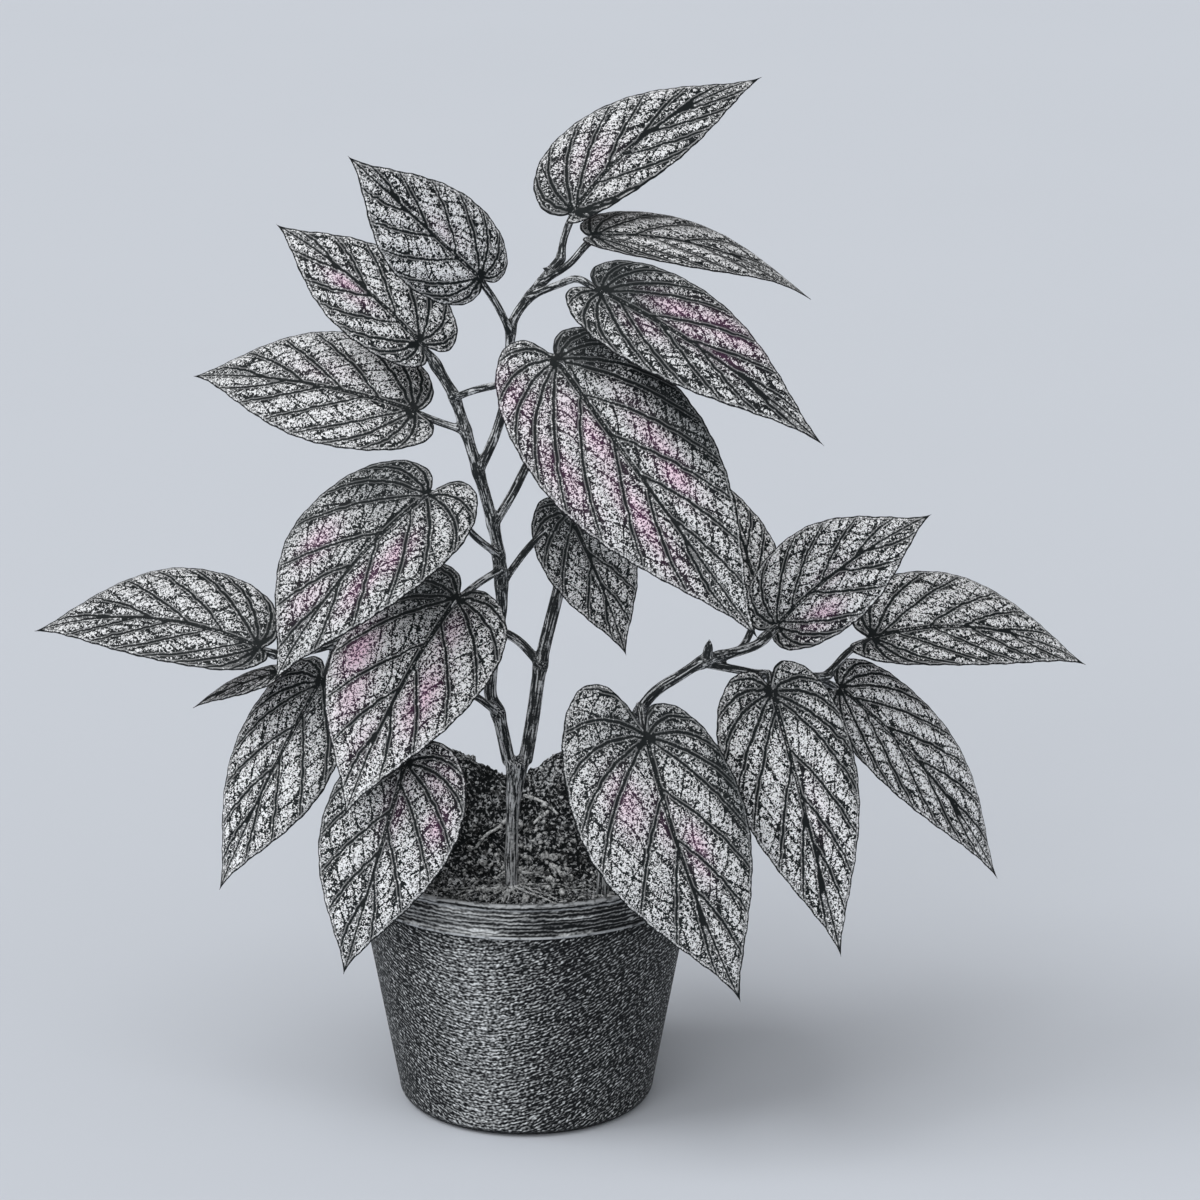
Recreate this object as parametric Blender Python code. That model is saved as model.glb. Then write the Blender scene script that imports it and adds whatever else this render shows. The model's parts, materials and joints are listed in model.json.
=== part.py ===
"""A potted angel wing begonia: nursery pot, soil, canes, buds and twenty leaves.

The origin is at the centre of the pot's foot, +Z is up and -Y is the plant's front.
Tables are in millimetres and degrees; everything is built in metres.
"""
import math

import bmesh
import bpy
from mathutils import Vector

MM = 0.001
GAP = 0.3                     # kept between pieces that touch

# Pot
POT_HEIGHT = 131.0
RIM_RADIUS = 86.0
RIM_BAND = 18.0
BODY_TOP_RADIUS = 83.5
BODY_FOOT_RADIUS = 64.0
FOOT_ROUND = 7.0
WALL_TOP_RADIUS = 83.6        # inside of the wall at the rim
WALL_FOOT_RADIUS = 61.6       # inside of the wall at the floor
FLOOR = 4.8                   # top of the pot's floor
PAD_RADIUS = 15.0             # flat pad that the pot rests on, at its centre
RECESS = 2.4                  # height of the hollow ring round the pad
RECESS_RADIUS = 50.0
DRAIN_HOLES = 6
DRAIN_RADIUS = 4.0
DRAIN_CIRCLE = 36.0
DRAIN_SIDES = 10
POT_SIDES = 40
EDGE_BEVEL = 1.0              # at the rim's top edge
RING_SLOPE = 2.0              # the hollow ring's walls lean by this much

# Soil
SOIL_LEVEL = 110.0            # at the pot's wall
HEAP_BACK = 40.0              # the heap's ridge lies this far behind the pot's axis
HEAP_SPREAD = 19.0
SADDLE_X = -7.0
SADDLE_HEIGHT = 44.0
SHOULDER_RISE = 20.0
SHOULDER_REACH = 22.0
HEAP_FADE = 6                 # power by which the heap sinks towards the wall
SOIL_SIDES = 36
SOIL_RINGS = 9

# Stems
STEM_SIDES = 8
PETIOLE_SIDES = 6
ROUTE_STEPS = 4               # points of a smoothed centre line for each stretch of its route
FINE_STEPS = 400              # points tried when a piece is cut back from the stem that carries it
SOCKET_POINTS = 8             # points of a stem's centre line that its socket in the soil follows
PETIOLE_RADIUS = 1.9
MIDRIB_RADIUS = 0.8           # at the end of the ridge under the blade
MIDRIB_SHARES = (0.02, 0.2, 0.4)
MIDRIB_DROP = 0.7             # centre of the ridge below the middle of the blade
BUD_FULLNESS = (0.6, 1.0, 0.9, 0.6, 0.15)

# Leaves
BLADE_THICKNESS = 1.2
VEIN_SLOPE = 0.9              # how far back along the midrib a side vein starts, for each unit of its reach
LOBE_ROWS = 4
BLADE_ROWS = 6
NOTCH = 0.08                  # share of the lobe's curve that the notch leaves open
TIP_SHARE = 0.985             # share of the blade's edge at which the tip is cut square
ROW_SPACING = 0.8             # least distance between two rows where they meet the midrib
MIDRIB_SWAY = 0.35            # how far the midrib bends towards the wider side
FOLD = 0.10                   # rise of the halves away from the midrib, as a share of the width
ARCH = 0.16                   # fall of the halves towards the margin, as a share of the width
LOBE_LEAVING = 1.9            # shape of the lobe's curve as it leaves the notch
LOBE_RETURN = 0.9             # and as it comes round to the blade's edge
LOBE_OPENING = 0.1
EDGE_LEAVING = 0.45           # shape of the blade's edge beyond its greatest width
EDGE_ARRIVING = 0.22          # and as it comes in to the tip

# Each stem: its parent, the radius at its start and end, and the route of its centre line.
STEMS = {
    "trunk": dict(parent=None, radii=(3.2, 6.2), route=[
        (-7, -7, 100), (-7, -5, 125), (-6, -2, 153), (-4, 0, 174)]),
    "left_cane": dict(parent="trunk", radii=(3.4, 2.6), route=[
        (-8, 0, 174), (-13, -3, 200), (-17, -4, 213), (-14, -4, 239), (-11, -4, 259), (-13, -4, 287),
        (-18, -2, 309), (-26, 2, 336), (-33, 8, 357), (-38, 10, 366), (-44, 12, 376)]),
    "right_cane": dict(parent="trunk", radii=(3.6, 2.8), route=[
        (0, 1, 174), (4, 5, 197), (8, 12, 223), (15, 18, 251), (23, 26, 281), (32, 34, 309),
        (39, 40, 333)]),
    "upper_cane": dict(parent="left_cane", radii=(2.6, 2.2), route=[
        (-22, 0, 323), (-14, 4, 340), (-9, 8, 357), (-7, 8, 377), (-5, 6, 396), (3, 5, 409),
        (13, 5, 421), (18, 5, 427)]),
    "side_shoot": dict(parent="left_cane", radii=(2.4, 2.2), route=[
        (-14, -3, 298), (-5, 4, 312), (2, 12, 324), (12, 20, 336), (20, 26, 346)]),
    "right_branch": dict(parent=None, radii=(3.4, 2.4), route=[
        (38, -14, 100), (40, -20, 138), (48, -31, 190), (60, -38, 219), (76, -36, 231),
        (88, -32, 237), (103, -24, 239), (113, -16, 240), (119, -9, 243)]),
    "lower_twig": dict(parent="right_branch", radii=(2.2, 1.9), route=[
        (86, -32, 236), (103, -27, 231), (117, -20, 226), (135, -6, 220), (149, 6, 217)]),
    "left_shoot": dict(parent="right_cane", radii=(2.4, 1.9), route=[
        (8, 11, 221), (-6, 22, 232), (-28, 28, 238), (-52, 20, 239), (-81, 0, 239), (-104, -16, 237),
        (-120, -26, 238)]),
}

# Each bud: the stem it sits on, its foot and its point, and its greatest radius.
BUDS = {
    "branch_bud": dict(stem="right_branch", foot=(88, -32, 237), point=(90, -33, 249), radius=2.6),
    "crown_bud": dict(stem="upper_cane", foot=(13, 5, 421), point=(9, 3, 424), radius=1.3),
}

# Each leaf: the stem it grows from and how far along, points that its petiole passes, the notch where
# the petiole meets the blade, the blade's tip, and the way its upper face looks (turn from the front
# towards +X, then up from level). Sides are (greatest width, where that width is, reach of the lobe
# behind the notch); bow is how far the blade arches above the line from notch to tip.
LEAVES = {
    "crown": dict(stem="upper_cane", at=1.0, via=[(20, 8, 438)], notch=(24, 6, 450), tip=(116, 70, 504),
                  faces=(-12, 35), left=(38, 33, 10), right=(12, 50, 7), bow=4),
    "crown_side": dict(stem="upper_cane", at=0.88, via=[(22, -4, 427)], notch=(33, 0, 440),
                       tip=(140, 35, 401), faces=(10, 72), left=(32, 46, 5), right=(19, 40, 6), bow=9),
    "upper_right": dict(stem="upper_cane", at=0.80, via=[(17, -8, 418), (27, -27, 425)],
                        notch=(37, -50, 425), tip=(141, -95, 362), faces=(8, 40), left=(29, 34, 11),
                        right=(24, 26, 13), bow=7),
    "large_front": dict(stem="left_cane", at=0.90, via=[(-23, -8, 366), (-6, -30, 376)],
                        notch=(16, -45, 391), tip=(111, -105, 271), faces=(-8, 35), left=(39, 58, 11),
                        right=(42, 44, 20), bow=9),
    "upper_left": dict(stem="upper_cane", at=0.62, via=[(-13, -3, 408)], notch=(-20, -12, 422),
                       tip=(-81, -35, 486), faces=(-15, 35), left=(27, 34, 6), right=(25, 24, 10), bow=5),
    "left_top": dict(stem="left_cane", at=1.0, via=[], notch=(-50, 13, 384), tip=(-121, 45, 436),
                     faces=(-18, 42), left=(21, 32, 9), right=(28, 24, 13), bow=5),
    "mid_left": dict(stem="left_cane", at=0.82, via=[(-40, 6, 346)], notch=(-53, 10, 351),
                     tip=(-166, 75, 352), faces=(-12, 45), left=(29, 36, 14), right=(35, 52, 7), bow=7),
    "left_front_upper": dict(stem="left_cane", at=0.52, via=[(-25, -20, 298), (-35, -46, 321)],
                             notch=(-44, -68, 331), tip=(-115, -118, 254), faces=(-18, 30),
                             left=(31, 18, 16), right=(42, 44, 12), bow=7),
    "left_front_lower": dict(stem="left_cane", at=0.485, via=[(-22, -22, 273)], notch=(-31, -45, 273),
                             tip=(-84, -105, 183), faces=(-10, 30), left=(34, 26, 9),
                             right=(42, 46, 15), bow=7),
    "inner": dict(stem="left_cane", at=0.45, via=[(3, 6, 284)], notch=(21, 16, 299),
                  tip=(50, -2, 230), faces=(8, 30), left=(25, 22, 8), right=(23, 18, 10), bow=4),
    "far_left": dict(stem="left_shoot", at=1.0, via=[], notch=(-128, -29, 243), tip=(-243, 20, 236),
                     faces=(-15, 50), left=(17, 22, 6), right=(41, 52, 8), bow=6),
    "young": dict(stem="left_shoot", at=0.93, via=[], notch=(-119, -33, 231), tip=(-163, -8, 205),
                  faces=(-25, 62), left=(8, 12, 4), right=(9, 18, 4), bow=2),
    "lower_left": dict(stem="left_shoot", at=0.78, via=[], notch=(-99, -14, 222),
                       tip=(-150, -35, 120), faces=(-30, 28), left=(31, 42, 9), right=(27, 34, 9), bow=6),
    "rim_left": dict(stem="left_cane", at=0.13, via=[(-27, -26, 218), (-42, -55, 221)],
                     notch=(-56, -72, 199), tip=(-86, -100, 101), faces=(-12, 22), left=(36, 24, 14),
                     right=(31, 34, 9), bow=6),
    "rim_right": dict(stem="right_branch", at=0.59, via=[(56, -58, 222)], notch=(59, -78, 214),
                      tip=(104, -118, 94), faces=(8, 26), left=(33, 38, 14), right=(47, 34, 32), bow=8),
    "branch_front": dict(stem="lower_twig", at=0.44, via=[(119, -32, 230)], notch=(120, -42, 225),
                         tip=(154, -72, 99), faces=(12, 24), left=(31, 32, 13), right=(34, 29, 13), bow=7),
    "branch_hanging": dict(stem="lower_twig", at=0.88, via=[], notch=(155, 14, 209),
                           tip=(239, 40, 98), faces=(25, 32), left=(31, 52, 9), right=(20, 30, 11), bow=7),
    "branch_top": dict(stem="right_branch", at=1.0, via=[], notch=(123, -5, 246),
                       tip=(197, -15, 306), faces=(5, 40), left=(33, 30, 12), right=(23, 34, 6), bow=4),
    "branch_back": dict(stem="right_branch", at=0.84, via=[(105, -8, 235), (111, 8, 239)],
                        notch=(116, 20, 251), tip=(97, 62, 304), faces=(10, 35), left=(16, 20, 8),
                        right=(16, 22, 8), bow=3),
    "far_right": dict(stem="lower_twig", at=1.0, via=[(160, 17, 226)], notch=(172, 25, 231),
                      tip=(284, 75, 201), faces=(12, 48), left=(42, 46, 10), right=(16, 18, 12), bow=7),
}

COLOURS = {
    "pot_plastic": ((0.030, 0.032, 0.035), 0.55),
    "soil": ((0.022, 0.023, 0.025), 0.95),
    "stem": ((0.060, 0.064, 0.068), 0.60),
    "leaf_blade": ((0.180, 0.182, 0.190), 0.55),
}


def clear_scene():
    for old in list(bpy.data.objects):
        bpy.data.objects.remove(old, do_unlink=True)


def make_material(name):
    colour, roughness = COLOURS[name]
    material = bpy.data.materials.new(name)
    material.use_nodes = True
    shader = material.node_tree.nodes["Principled BSDF"]
    shader.inputs["Base Color"].default_value = (*colour, 1.0)
    shader.inputs["Roughness"].default_value = roughness
    shader.inputs["Metallic"].default_value = 0.0
    return material


def make_object(name, points, faces, material):
    """One closed body from points in millimetres and faces that all turn the same way round."""
    mesh = bpy.data.meshes.new(name)
    mesh.from_pydata([tuple(point * MM) for point in points], [], faces)
    work = bmesh.new()
    work.from_mesh(mesh)
    bmesh.ops.triangulate(work, faces=work.faces)
    if work.calc_volume(signed=True) < 0:
        bmesh.ops.reverse_faces(work, faces=work.faces)
    work.to_mesh(mesh)
    work.free()
    mesh.shade_smooth()
    mesh.set_sharp_from_angle(angle=math.radians(40))
    part = bpy.data.objects.new(name, mesh)
    bpy.context.scene.collection.objects.link(part)
    mesh.materials.append(material)
    return part


def combine(part, other, operation):
    """Join another body to a part, or cut it out of it; the other one is only a guide."""
    other.hide_render = True
    other.display_type = "WIRE"
    modifier = part.modifiers.new(other.name, "BOOLEAN")
    modifier.operation = operation
    modifier.solver = "EXACT"
    modifier.object = other


# ---------------------------------------------------------------- centre lines and tubes

def smooth_route(route, steps=ROUTE_STEPS):
    """A Catmull-Rom curve through the points of a route."""
    points = [Vector(point) for point in route]
    ends = [2 * points[0] - points[1]] + points + [2 * points[-1] - points[-2]]
    curve = []
    for before, start, end, after in zip(ends, ends[1:], ends[2:], ends[3:]):
        for step in range(steps):
            t = step / steps
            curve.append(0.5 * (2 * start + (end - before) * t
                                + (2 * before - 5 * start + 4 * end - after) * t ** 2
                                + (3 * start - before - 3 * end + after) * t ** 3))
    return curve + [points[-1]]


def lengths_along(curve):
    total = [0.0]
    for start, end in zip(curve, curve[1:]):
        total.append(total[-1] + (end - start).length)
    return total


def point_along(curve, share):
    """The point at a share of a curve's length."""
    lengths = lengths_along(curve)
    wanted = share * lengths[-1]
    for index in range(1, len(curve)):
        if lengths[index] >= wanted or index == len(curve) - 1:
            span = lengths[index] - lengths[index - 1]
            return curve[index - 1].lerp(curve[index], min((wanted - lengths[index - 1]) / span, 1.0))


def resample(curve, count):
    return [point_along(curve, index / (count - 1)) for index in range(count)]


def ring_frames(curve):
    """At each point of a curve, two directions square to it that don't twist along it."""
    tangents = []
    for index in range(len(curve)):
        ahead = curve[min(index + 1, len(curve) - 1)]
        behind = curve[max(index - 1, 0)]
        tangents.append((ahead - behind).normalized())
    side = tangents[0].orthogonal().normalized()
    frames = []
    for tangent in tangents:
        side = (side - tangent * side.dot(tangent)).normalized()
        frames.append((side, tangent.cross(side)))
    return frames


def tube(curve, radii, sides):
    """Points and faces of a closed tube with flat ends."""
    points = []
    faces = []
    for (side, rise), centre, radius in zip(ring_frames(curve), curve, radii):
        for index in range(sides):
            turn = 2 * math.pi * index / sides
            points.append(centre + radius * (math.cos(turn) * side + math.sin(turn) * rise))
    for ring in range(len(curve) - 1):
        for index in range(sides):
            after = (index + 1) % sides
            low = ring * sides
            faces.append((low + index, low + after, low + sides + after, low + sides + index))
    faces.append(tuple(reversed(range(sides))))
    faces.append(tuple(range(len(points) - sides, len(points))))
    return points, faces


def taper(radii, count):
    start, end = radii
    return [start + (end - start) * index / (count - 1) for index in range(count)]


def clearance(point, curve, radii):
    """How far a point is outside a tapered tube with flat ends; negative inside it."""
    nearest = math.inf
    for index, (start, end) in enumerate(zip(curve, curve[1:])):
        axis = end - start
        span = axis.length
        along = (point - start).dot(axis) / span
        radius = radii[index] + (radii[index + 1] - radii[index]) * min(max(along / span, 0.0), 1.0)
        beyond = max(-along, along - span, 0.0)
        outside = (point - start - axis * (along / span)).length - radius
        if beyond > 0:
            outside = math.hypot(max(outside, 0.0), beyond)
        nearest = min(nearest, outside)
    return nearest


def trim_to_clear(curve, radius, sides, carrier):
    """Cut the start off a curve until the end of a tube along it clears the stem that carries it."""
    stem_curve, stem_radii = carrier
    fine = resample(curve, FINE_STEPS)
    frames = ring_frames(fine)
    for index, centre in enumerate(fine):
        side, rise = frames[index]
        rim = [centre + radius * (math.cos(turn) * side + math.sin(turn) * rise)
               for turn in (2 * math.pi * step / (2 * sides) for step in range(2 * sides))]
        if min(clearance(point, stem_curve, stem_radii) for point in rim + [centre]) >= GAP:
            return fine[index:]
    return fine


# ---------------------------------------------------------------- pot and soil

def wall_radius(height):
    """Inside radius of the pot's wall."""
    share = (height - FLOOR) / (POT_HEIGHT - FLOOR)
    return WALL_FOOT_RADIUS + (WALL_TOP_RADIUS - WALL_FOOT_RADIUS) * share


def turned(profile, sides):
    """Points and faces of a profile turned about +Z; it starts and ends on the axis."""
    points = [Vector((0, 0, profile[0][1])), Vector((0, 0, profile[-1][1]))]
    faces = []
    rings = profile[1:-1]
    for radius, height in rings:
        for index in range(sides):
            turn = 2 * math.pi * index / sides
            points.append(Vector((radius * math.cos(turn), radius * math.sin(turn), height)))
    for index in range(sides):
        after = (index + 1) % sides
        faces.append((0, 2 + index, 2 + after))
        for ring in range(len(rings) - 1):
            low = 2 + ring * sides
            faces.append((low + index, low + sides + index, low + sides + after, low + after))
        last = 2 + (len(rings) - 1) * sides
        faces.append((1, last + after, last + index))
    return points, faces


def make_pot(material):
    band_foot = POT_HEIGHT - RIM_BAND
    foot_inner = BODY_FOOT_RADIUS - FOOT_ROUND
    profile = [(0, 0), (PAD_RADIUS, 0), (PAD_RADIUS + RING_SLOPE, RECESS),
               (RECESS_RADIUS, RECESS), (RECESS_RADIUS + RING_SLOPE, 0), (foot_inner, 0)]
    for step in (1, 2, 3):
        turn = math.radians(30 * step - 90)
        profile.append((foot_inner + FOOT_ROUND * math.cos(turn), FOOT_ROUND * (1 + math.sin(turn))))
    profile += [(BODY_TOP_RADIUS, band_foot), (RIM_RADIUS, band_foot),
                (RIM_RADIUS, POT_HEIGHT - EDGE_BEVEL), (RIM_RADIUS - EDGE_BEVEL, POT_HEIGHT),
                (WALL_TOP_RADIUS, POT_HEIGHT), (WALL_FOOT_RADIUS, FLOOR), (0, FLOOR)]
    points, faces = turned(profile, POT_SIDES)
    pot = make_object("nursery_pot", points, faces, material)
    for hole in range(DRAIN_HOLES):
        turn = 2 * math.pi * hole / DRAIN_HOLES
        centre = Vector((DRAIN_CIRCLE * math.cos(turn), DRAIN_CIRCLE * math.sin(turn), 0))
        line = [centre + Vector((0, 0, -1)), centre + Vector((0, 0, FLOOR + 1))]
        points, faces = tube(line, (DRAIN_RADIUS, DRAIN_RADIUS), DRAIN_SIDES)
        combine(pot, make_object(f"drain_cutter_{hole}", points, faces, material), "DIFFERENCE")
    return pot


def soil_height(x, y):
    """Level soil near the wall, heaped into a ridge with two shoulders behind the trunk."""
    from_axis = min(math.hypot(x, y) / wall_radius(POT_HEIGHT), 1.0)
    ridge = math.exp(-0.5 * ((y - HEAP_BACK) / HEAP_SPREAD) ** 2)
    shoulders = 1 - math.exp(-((x - SADDLE_X) / SHOULDER_REACH) ** 2)
    heap = ridge * (SADDLE_HEIGHT + SHOULDER_RISE * shoulders)
    return SOIL_LEVEL + heap * (1 - from_axis ** HEAP_FADE)


def make_soil(material, stems):
    low = FLOOR + GAP
    outer = wall_radius(SOIL_LEVEL) - GAP
    points = [Vector((0, 0, low)), Vector((0, 0, soil_height(0, 0)))]
    rings = [(wall_radius(low) - GAP, None)]
    rings += [(outer * (1 - step / SOIL_RINGS), step) for step in range(SOIL_RINGS)]
    faces = []
    for radius, step in rings:
        for index in range(SOIL_SIDES):
            turn = 2 * math.pi * index / SOIL_SIDES
            x = radius * math.cos(turn)
            y = radius * math.sin(turn)
            points.append(Vector((x, y, low if step is None else soil_height(x, y))))
    for index in range(SOIL_SIDES):
        after = (index + 1) % SOIL_SIDES
        faces.append((0, 2 + after, 2 + index))
        for ring in range(len(rings) - 1):
            start = 2 + ring * SOIL_SIDES
            faces.append((start + index, start + after,
                          start + SOIL_SIDES + after, start + SOIL_SIDES + index))
        last = 2 + (len(rings) - 1) * SOIL_SIDES
        faces.append((1, last + index, last + after))
    soil = make_object("potting_soil", points, faces, material)
    for name in ("trunk", "right_branch"):
        curve, radii = stems[name]
        below = curve[0] + (curve[0] - curve[1]).normalized() * GAP
        socket = [below] + curve[1:SOCKET_POINTS]
        hole_points, hole_faces = tube(socket, [radius + 2 * GAP for radius in radii[:SOCKET_POINTS]],
                                       STEM_SIDES)
        cutter = make_object(f"{name}_socket_cutter", hole_points, hole_faces, material)
        combine(soil, cutter, "DIFFERENCE")
    return soil


# ---------------------------------------------------------------- stems and buds

def plan_stems():
    """Each stem's centre line and radii, cut back to clear the stem that it grows from."""
    planned = {}
    for name, stem in STEMS.items():
        curve = smooth_route(stem["route"])
        if stem["parent"]:
            curve = trim_to_clear(curve, stem["radii"][0], STEM_SIDES, planned[stem["parent"]])
        count = 2 * len(stem["route"]) - 1
        planned[name] = (resample(curve, count), taper(stem["radii"], count))
    return planned


def make_bud(name, bud, stems, material):
    """A pointed bud: narrow at its foot, fullest a third of the way up."""
    line = smooth_route([bud["foot"], bud["point"]], steps=20)
    foot_radius = bud["radius"] * BUD_FULLNESS[0]
    curve = trim_to_clear(line, foot_radius, PETIOLE_SIDES, stems[bud["stem"]])
    radii = [bud["radius"] * share for share in BUD_FULLNESS]
    points, faces = tube(resample(curve, len(radii)), radii, PETIOLE_SIDES)
    return make_object(name, points, faces, material)


# ---------------------------------------------------------------- leaves

def bezier(p0, p1, p2, p3, t):
    s = 1 - t
    return tuple(s ** 3 * a + 3 * s * s * t * b + 3 * s * t * t * c + t ** 3 * d
                 for a, b, c, d in zip(p0, p1, p2, p3))


def margin_point(length, side, t):
    """A point on one side's margin: the lobe for t from 0 to 1, then the blade's edge up to t = 2."""
    width, widest, lobe = side
    if t <= 1:
        return bezier((0, 0), (-LOBE_LEAVING * lobe, LOBE_OPENING * width),
                      (-LOBE_RETURN * lobe, width), (widest, width), t)
    rest = length - widest
    return bezier((widest, width), (widest + EDGE_LEAVING * rest, width),
                  (length - EDGE_ARRIVING * rest, LOBE_OPENING * width), (length, 0), t - 1)


def leaf_frame(leaf):
    """Origin, length and the three directions of a blade: along it, across it, and out of its face."""
    notch = Vector(leaf["notch"])
    chord = Vector(leaf["tip"]) - notch
    along = chord.normalized()
    turn, rise = (math.radians(angle) for angle in leaf["faces"])
    out = Vector((math.sin(turn) * math.cos(rise), -math.cos(turn) * math.cos(rise), math.sin(rise)))
    out = (out - along * out.dot(along)).normalized()
    return notch, chord.length, along, out.cross(along), out


def hump(share):
    """Nothing at the notch and at the tip, and one halfway between them."""
    return 4 * share * (1 - share)


def blade_height(leaf, length, x, y):
    """How far the blade stands out of its plane: bowed from notch to tip, folded at the midrib."""
    width = max(leaf["left"][0], leaf["right"][0])
    across = abs(y) / width
    return leaf["bow"] * hump(x / length) + FOLD * width * across - ARCH * width * across ** 2


def blade_grid(leaf):
    """Rows of five blade points; a row follows a vein from one margin to the midrib to the other."""
    notch, length, along, across, out = leaf_frame(leaf)
    sway = MIDRIB_SWAY * (leaf["left"][0] - leaf["right"][0])
    places = [NOTCH + (1 - NOTCH) * row / LOBE_ROWS for row in range(LOBE_ROWS)]
    places += [1 + TIP_SHARE * row / BLADE_ROWS for row in range(BLADE_ROWS + 1)]
    rows = []
    for number, t in enumerate(places):
        left = margin_point(length, leaf["left"], t)
        right = margin_point(length, leaf["right"], t)
        starts = [point[0] - VEIN_SLOPE * point[1] for point in (left, right)]
        rib_x = max(0.5 * (starts[0] + starts[1]), 0) + ROW_SPACING * number * (1 - t / 2)
        rib_y = sway * hump(min(rib_x / length, 1))
        row = []
        for edge_x, edge_y, share in ((left[0], left[1], 1), (left[0], left[1], 0.5), (0, 0, 0),
                                      (right[0], -right[1], 0.5), (right[0], -right[1], 1)):
            x = rib_x + (edge_x - rib_x) * share
            y = rib_y + (edge_y - rib_y) * share
            height = blade_height(leaf, length, x, y - rib_y * (1 - share))
            row.append(notch + along * x + across * y + out * height)
        rows.append(row)
    return rows, out


def make_blade(name, leaf, material):
    rows, out = blade_grid(leaf)
    columns = len(rows[0])
    points = [point + out * BLADE_THICKNESS / 2 for row in rows for point in row]
    points += [point - out * BLADE_THICKNESS / 2 for row in rows for point in row]
    under = len(rows) * columns
    faces = []
    for row in range(len(rows) - 1):
        for column in range(columns - 1):
            a = row * columns + column
            b = a + columns
            faces.append((a, a + 1, b + 1, b))
            faces.append((under + a, under + b, under + b + 1, under + a + 1))
    edge = [column for column in range(columns)]
    edge += [row * columns + columns - 1 for row in range(1, len(rows))]
    edge += [(len(rows) - 1) * columns + column for column in range(columns - 2, -1, -1)]
    edge += [row * columns for row in range(len(rows) - 2, 0, -1)]
    for start, end in zip(edge, edge[1:] + edge[:1]):
        faces.append((start, under + start, under + end, end))
    return make_object(name, points, faces, material)


def make_leaf(name, leaf, stems, material):
    """A blade, and its petiole running on below it as the midrib, joined in one body."""
    blade = make_blade(f"leaf_{name}", leaf, material)
    notch, length, along, _, out = leaf_frame(leaf)
    start = point_along(stems[leaf["stem"]][0], leaf["at"])
    rib = [notch + along * length * share + out * (leaf["bow"] * hump(share) - MIDRIB_DROP)
           for share in MIDRIB_SHARES]
    route = [start] + [Vector(point) for point in leaf["via"]] + rib
    curve = trim_to_clear(smooth_route(route), PETIOLE_RADIUS, PETIOLE_SIDES, stems[leaf["stem"]])
    count = 2 * len(route) - 1
    thinner = PETIOLE_RADIUS - MIDRIB_RADIUS
    radii = [PETIOLE_RADIUS - thinner * (index / (count - 1)) ** 3 for index in range(count)]
    points, faces = tube(resample(curve, count), radii, PETIOLE_SIDES)
    combine(blade, make_object(f"petiole_{name}", points, faces, material), "UNION")
    return blade


def build():
    clear_scene()
    materials = {name: make_material(name) for name in COLOURS}
    stems = plan_stems()
    make_pot(materials["pot_plastic"])
    make_soil(materials["soil"], stems)
    for name, (curve, radii) in stems.items():
        points, faces = tube(curve, radii, STEM_SIDES)
        make_object(name, points, faces, materials["stem"])
    for name, bud in BUDS.items():
        make_bud(name, bud, stems, materials["stem"])
    for name, leaf in LEAVES.items():
        make_leaf(name, leaf, stems, materials["leaf_blade"])


build()
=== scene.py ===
"""Looks of the potted angel wing begonia: fine leaves, grown stems, moulded pot and soil.

The plant's tables are in millimetres and degrees and repeat the CAD's; meshes are made in
millimetres and turned to metres when their object is made. -Y is the plant's front.
"""
import json
import math
from collections import namedtuple

import bmesh
import bpy
import numpy as np
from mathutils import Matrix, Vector, noise
from mathutils.geometry import delaunay_2d_cdt

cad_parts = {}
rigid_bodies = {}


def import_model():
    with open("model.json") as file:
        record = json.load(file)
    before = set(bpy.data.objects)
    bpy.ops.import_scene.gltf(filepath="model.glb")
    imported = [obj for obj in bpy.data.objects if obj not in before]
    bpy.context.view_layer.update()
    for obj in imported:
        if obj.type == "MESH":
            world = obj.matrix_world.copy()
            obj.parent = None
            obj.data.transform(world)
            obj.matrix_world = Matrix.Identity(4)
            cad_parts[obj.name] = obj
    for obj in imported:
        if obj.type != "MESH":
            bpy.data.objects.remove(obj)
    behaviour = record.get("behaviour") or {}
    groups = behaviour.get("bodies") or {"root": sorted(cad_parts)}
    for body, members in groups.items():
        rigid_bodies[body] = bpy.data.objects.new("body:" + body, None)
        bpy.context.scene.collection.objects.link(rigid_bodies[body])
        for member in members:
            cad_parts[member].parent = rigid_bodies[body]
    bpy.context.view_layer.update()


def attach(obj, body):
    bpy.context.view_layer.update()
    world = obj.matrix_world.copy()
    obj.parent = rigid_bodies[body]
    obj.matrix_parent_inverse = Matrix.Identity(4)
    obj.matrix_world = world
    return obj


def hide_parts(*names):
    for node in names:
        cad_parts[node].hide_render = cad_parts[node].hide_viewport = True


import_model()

MM = 0.001
CHUNK = 500                   # points measured at a time

# ------------ the plant, as the CAD has it

Stem = namedtuple("Stem", "parent radii route")
Bud = namedtuple("Bud", "stem foot point radius")

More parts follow.
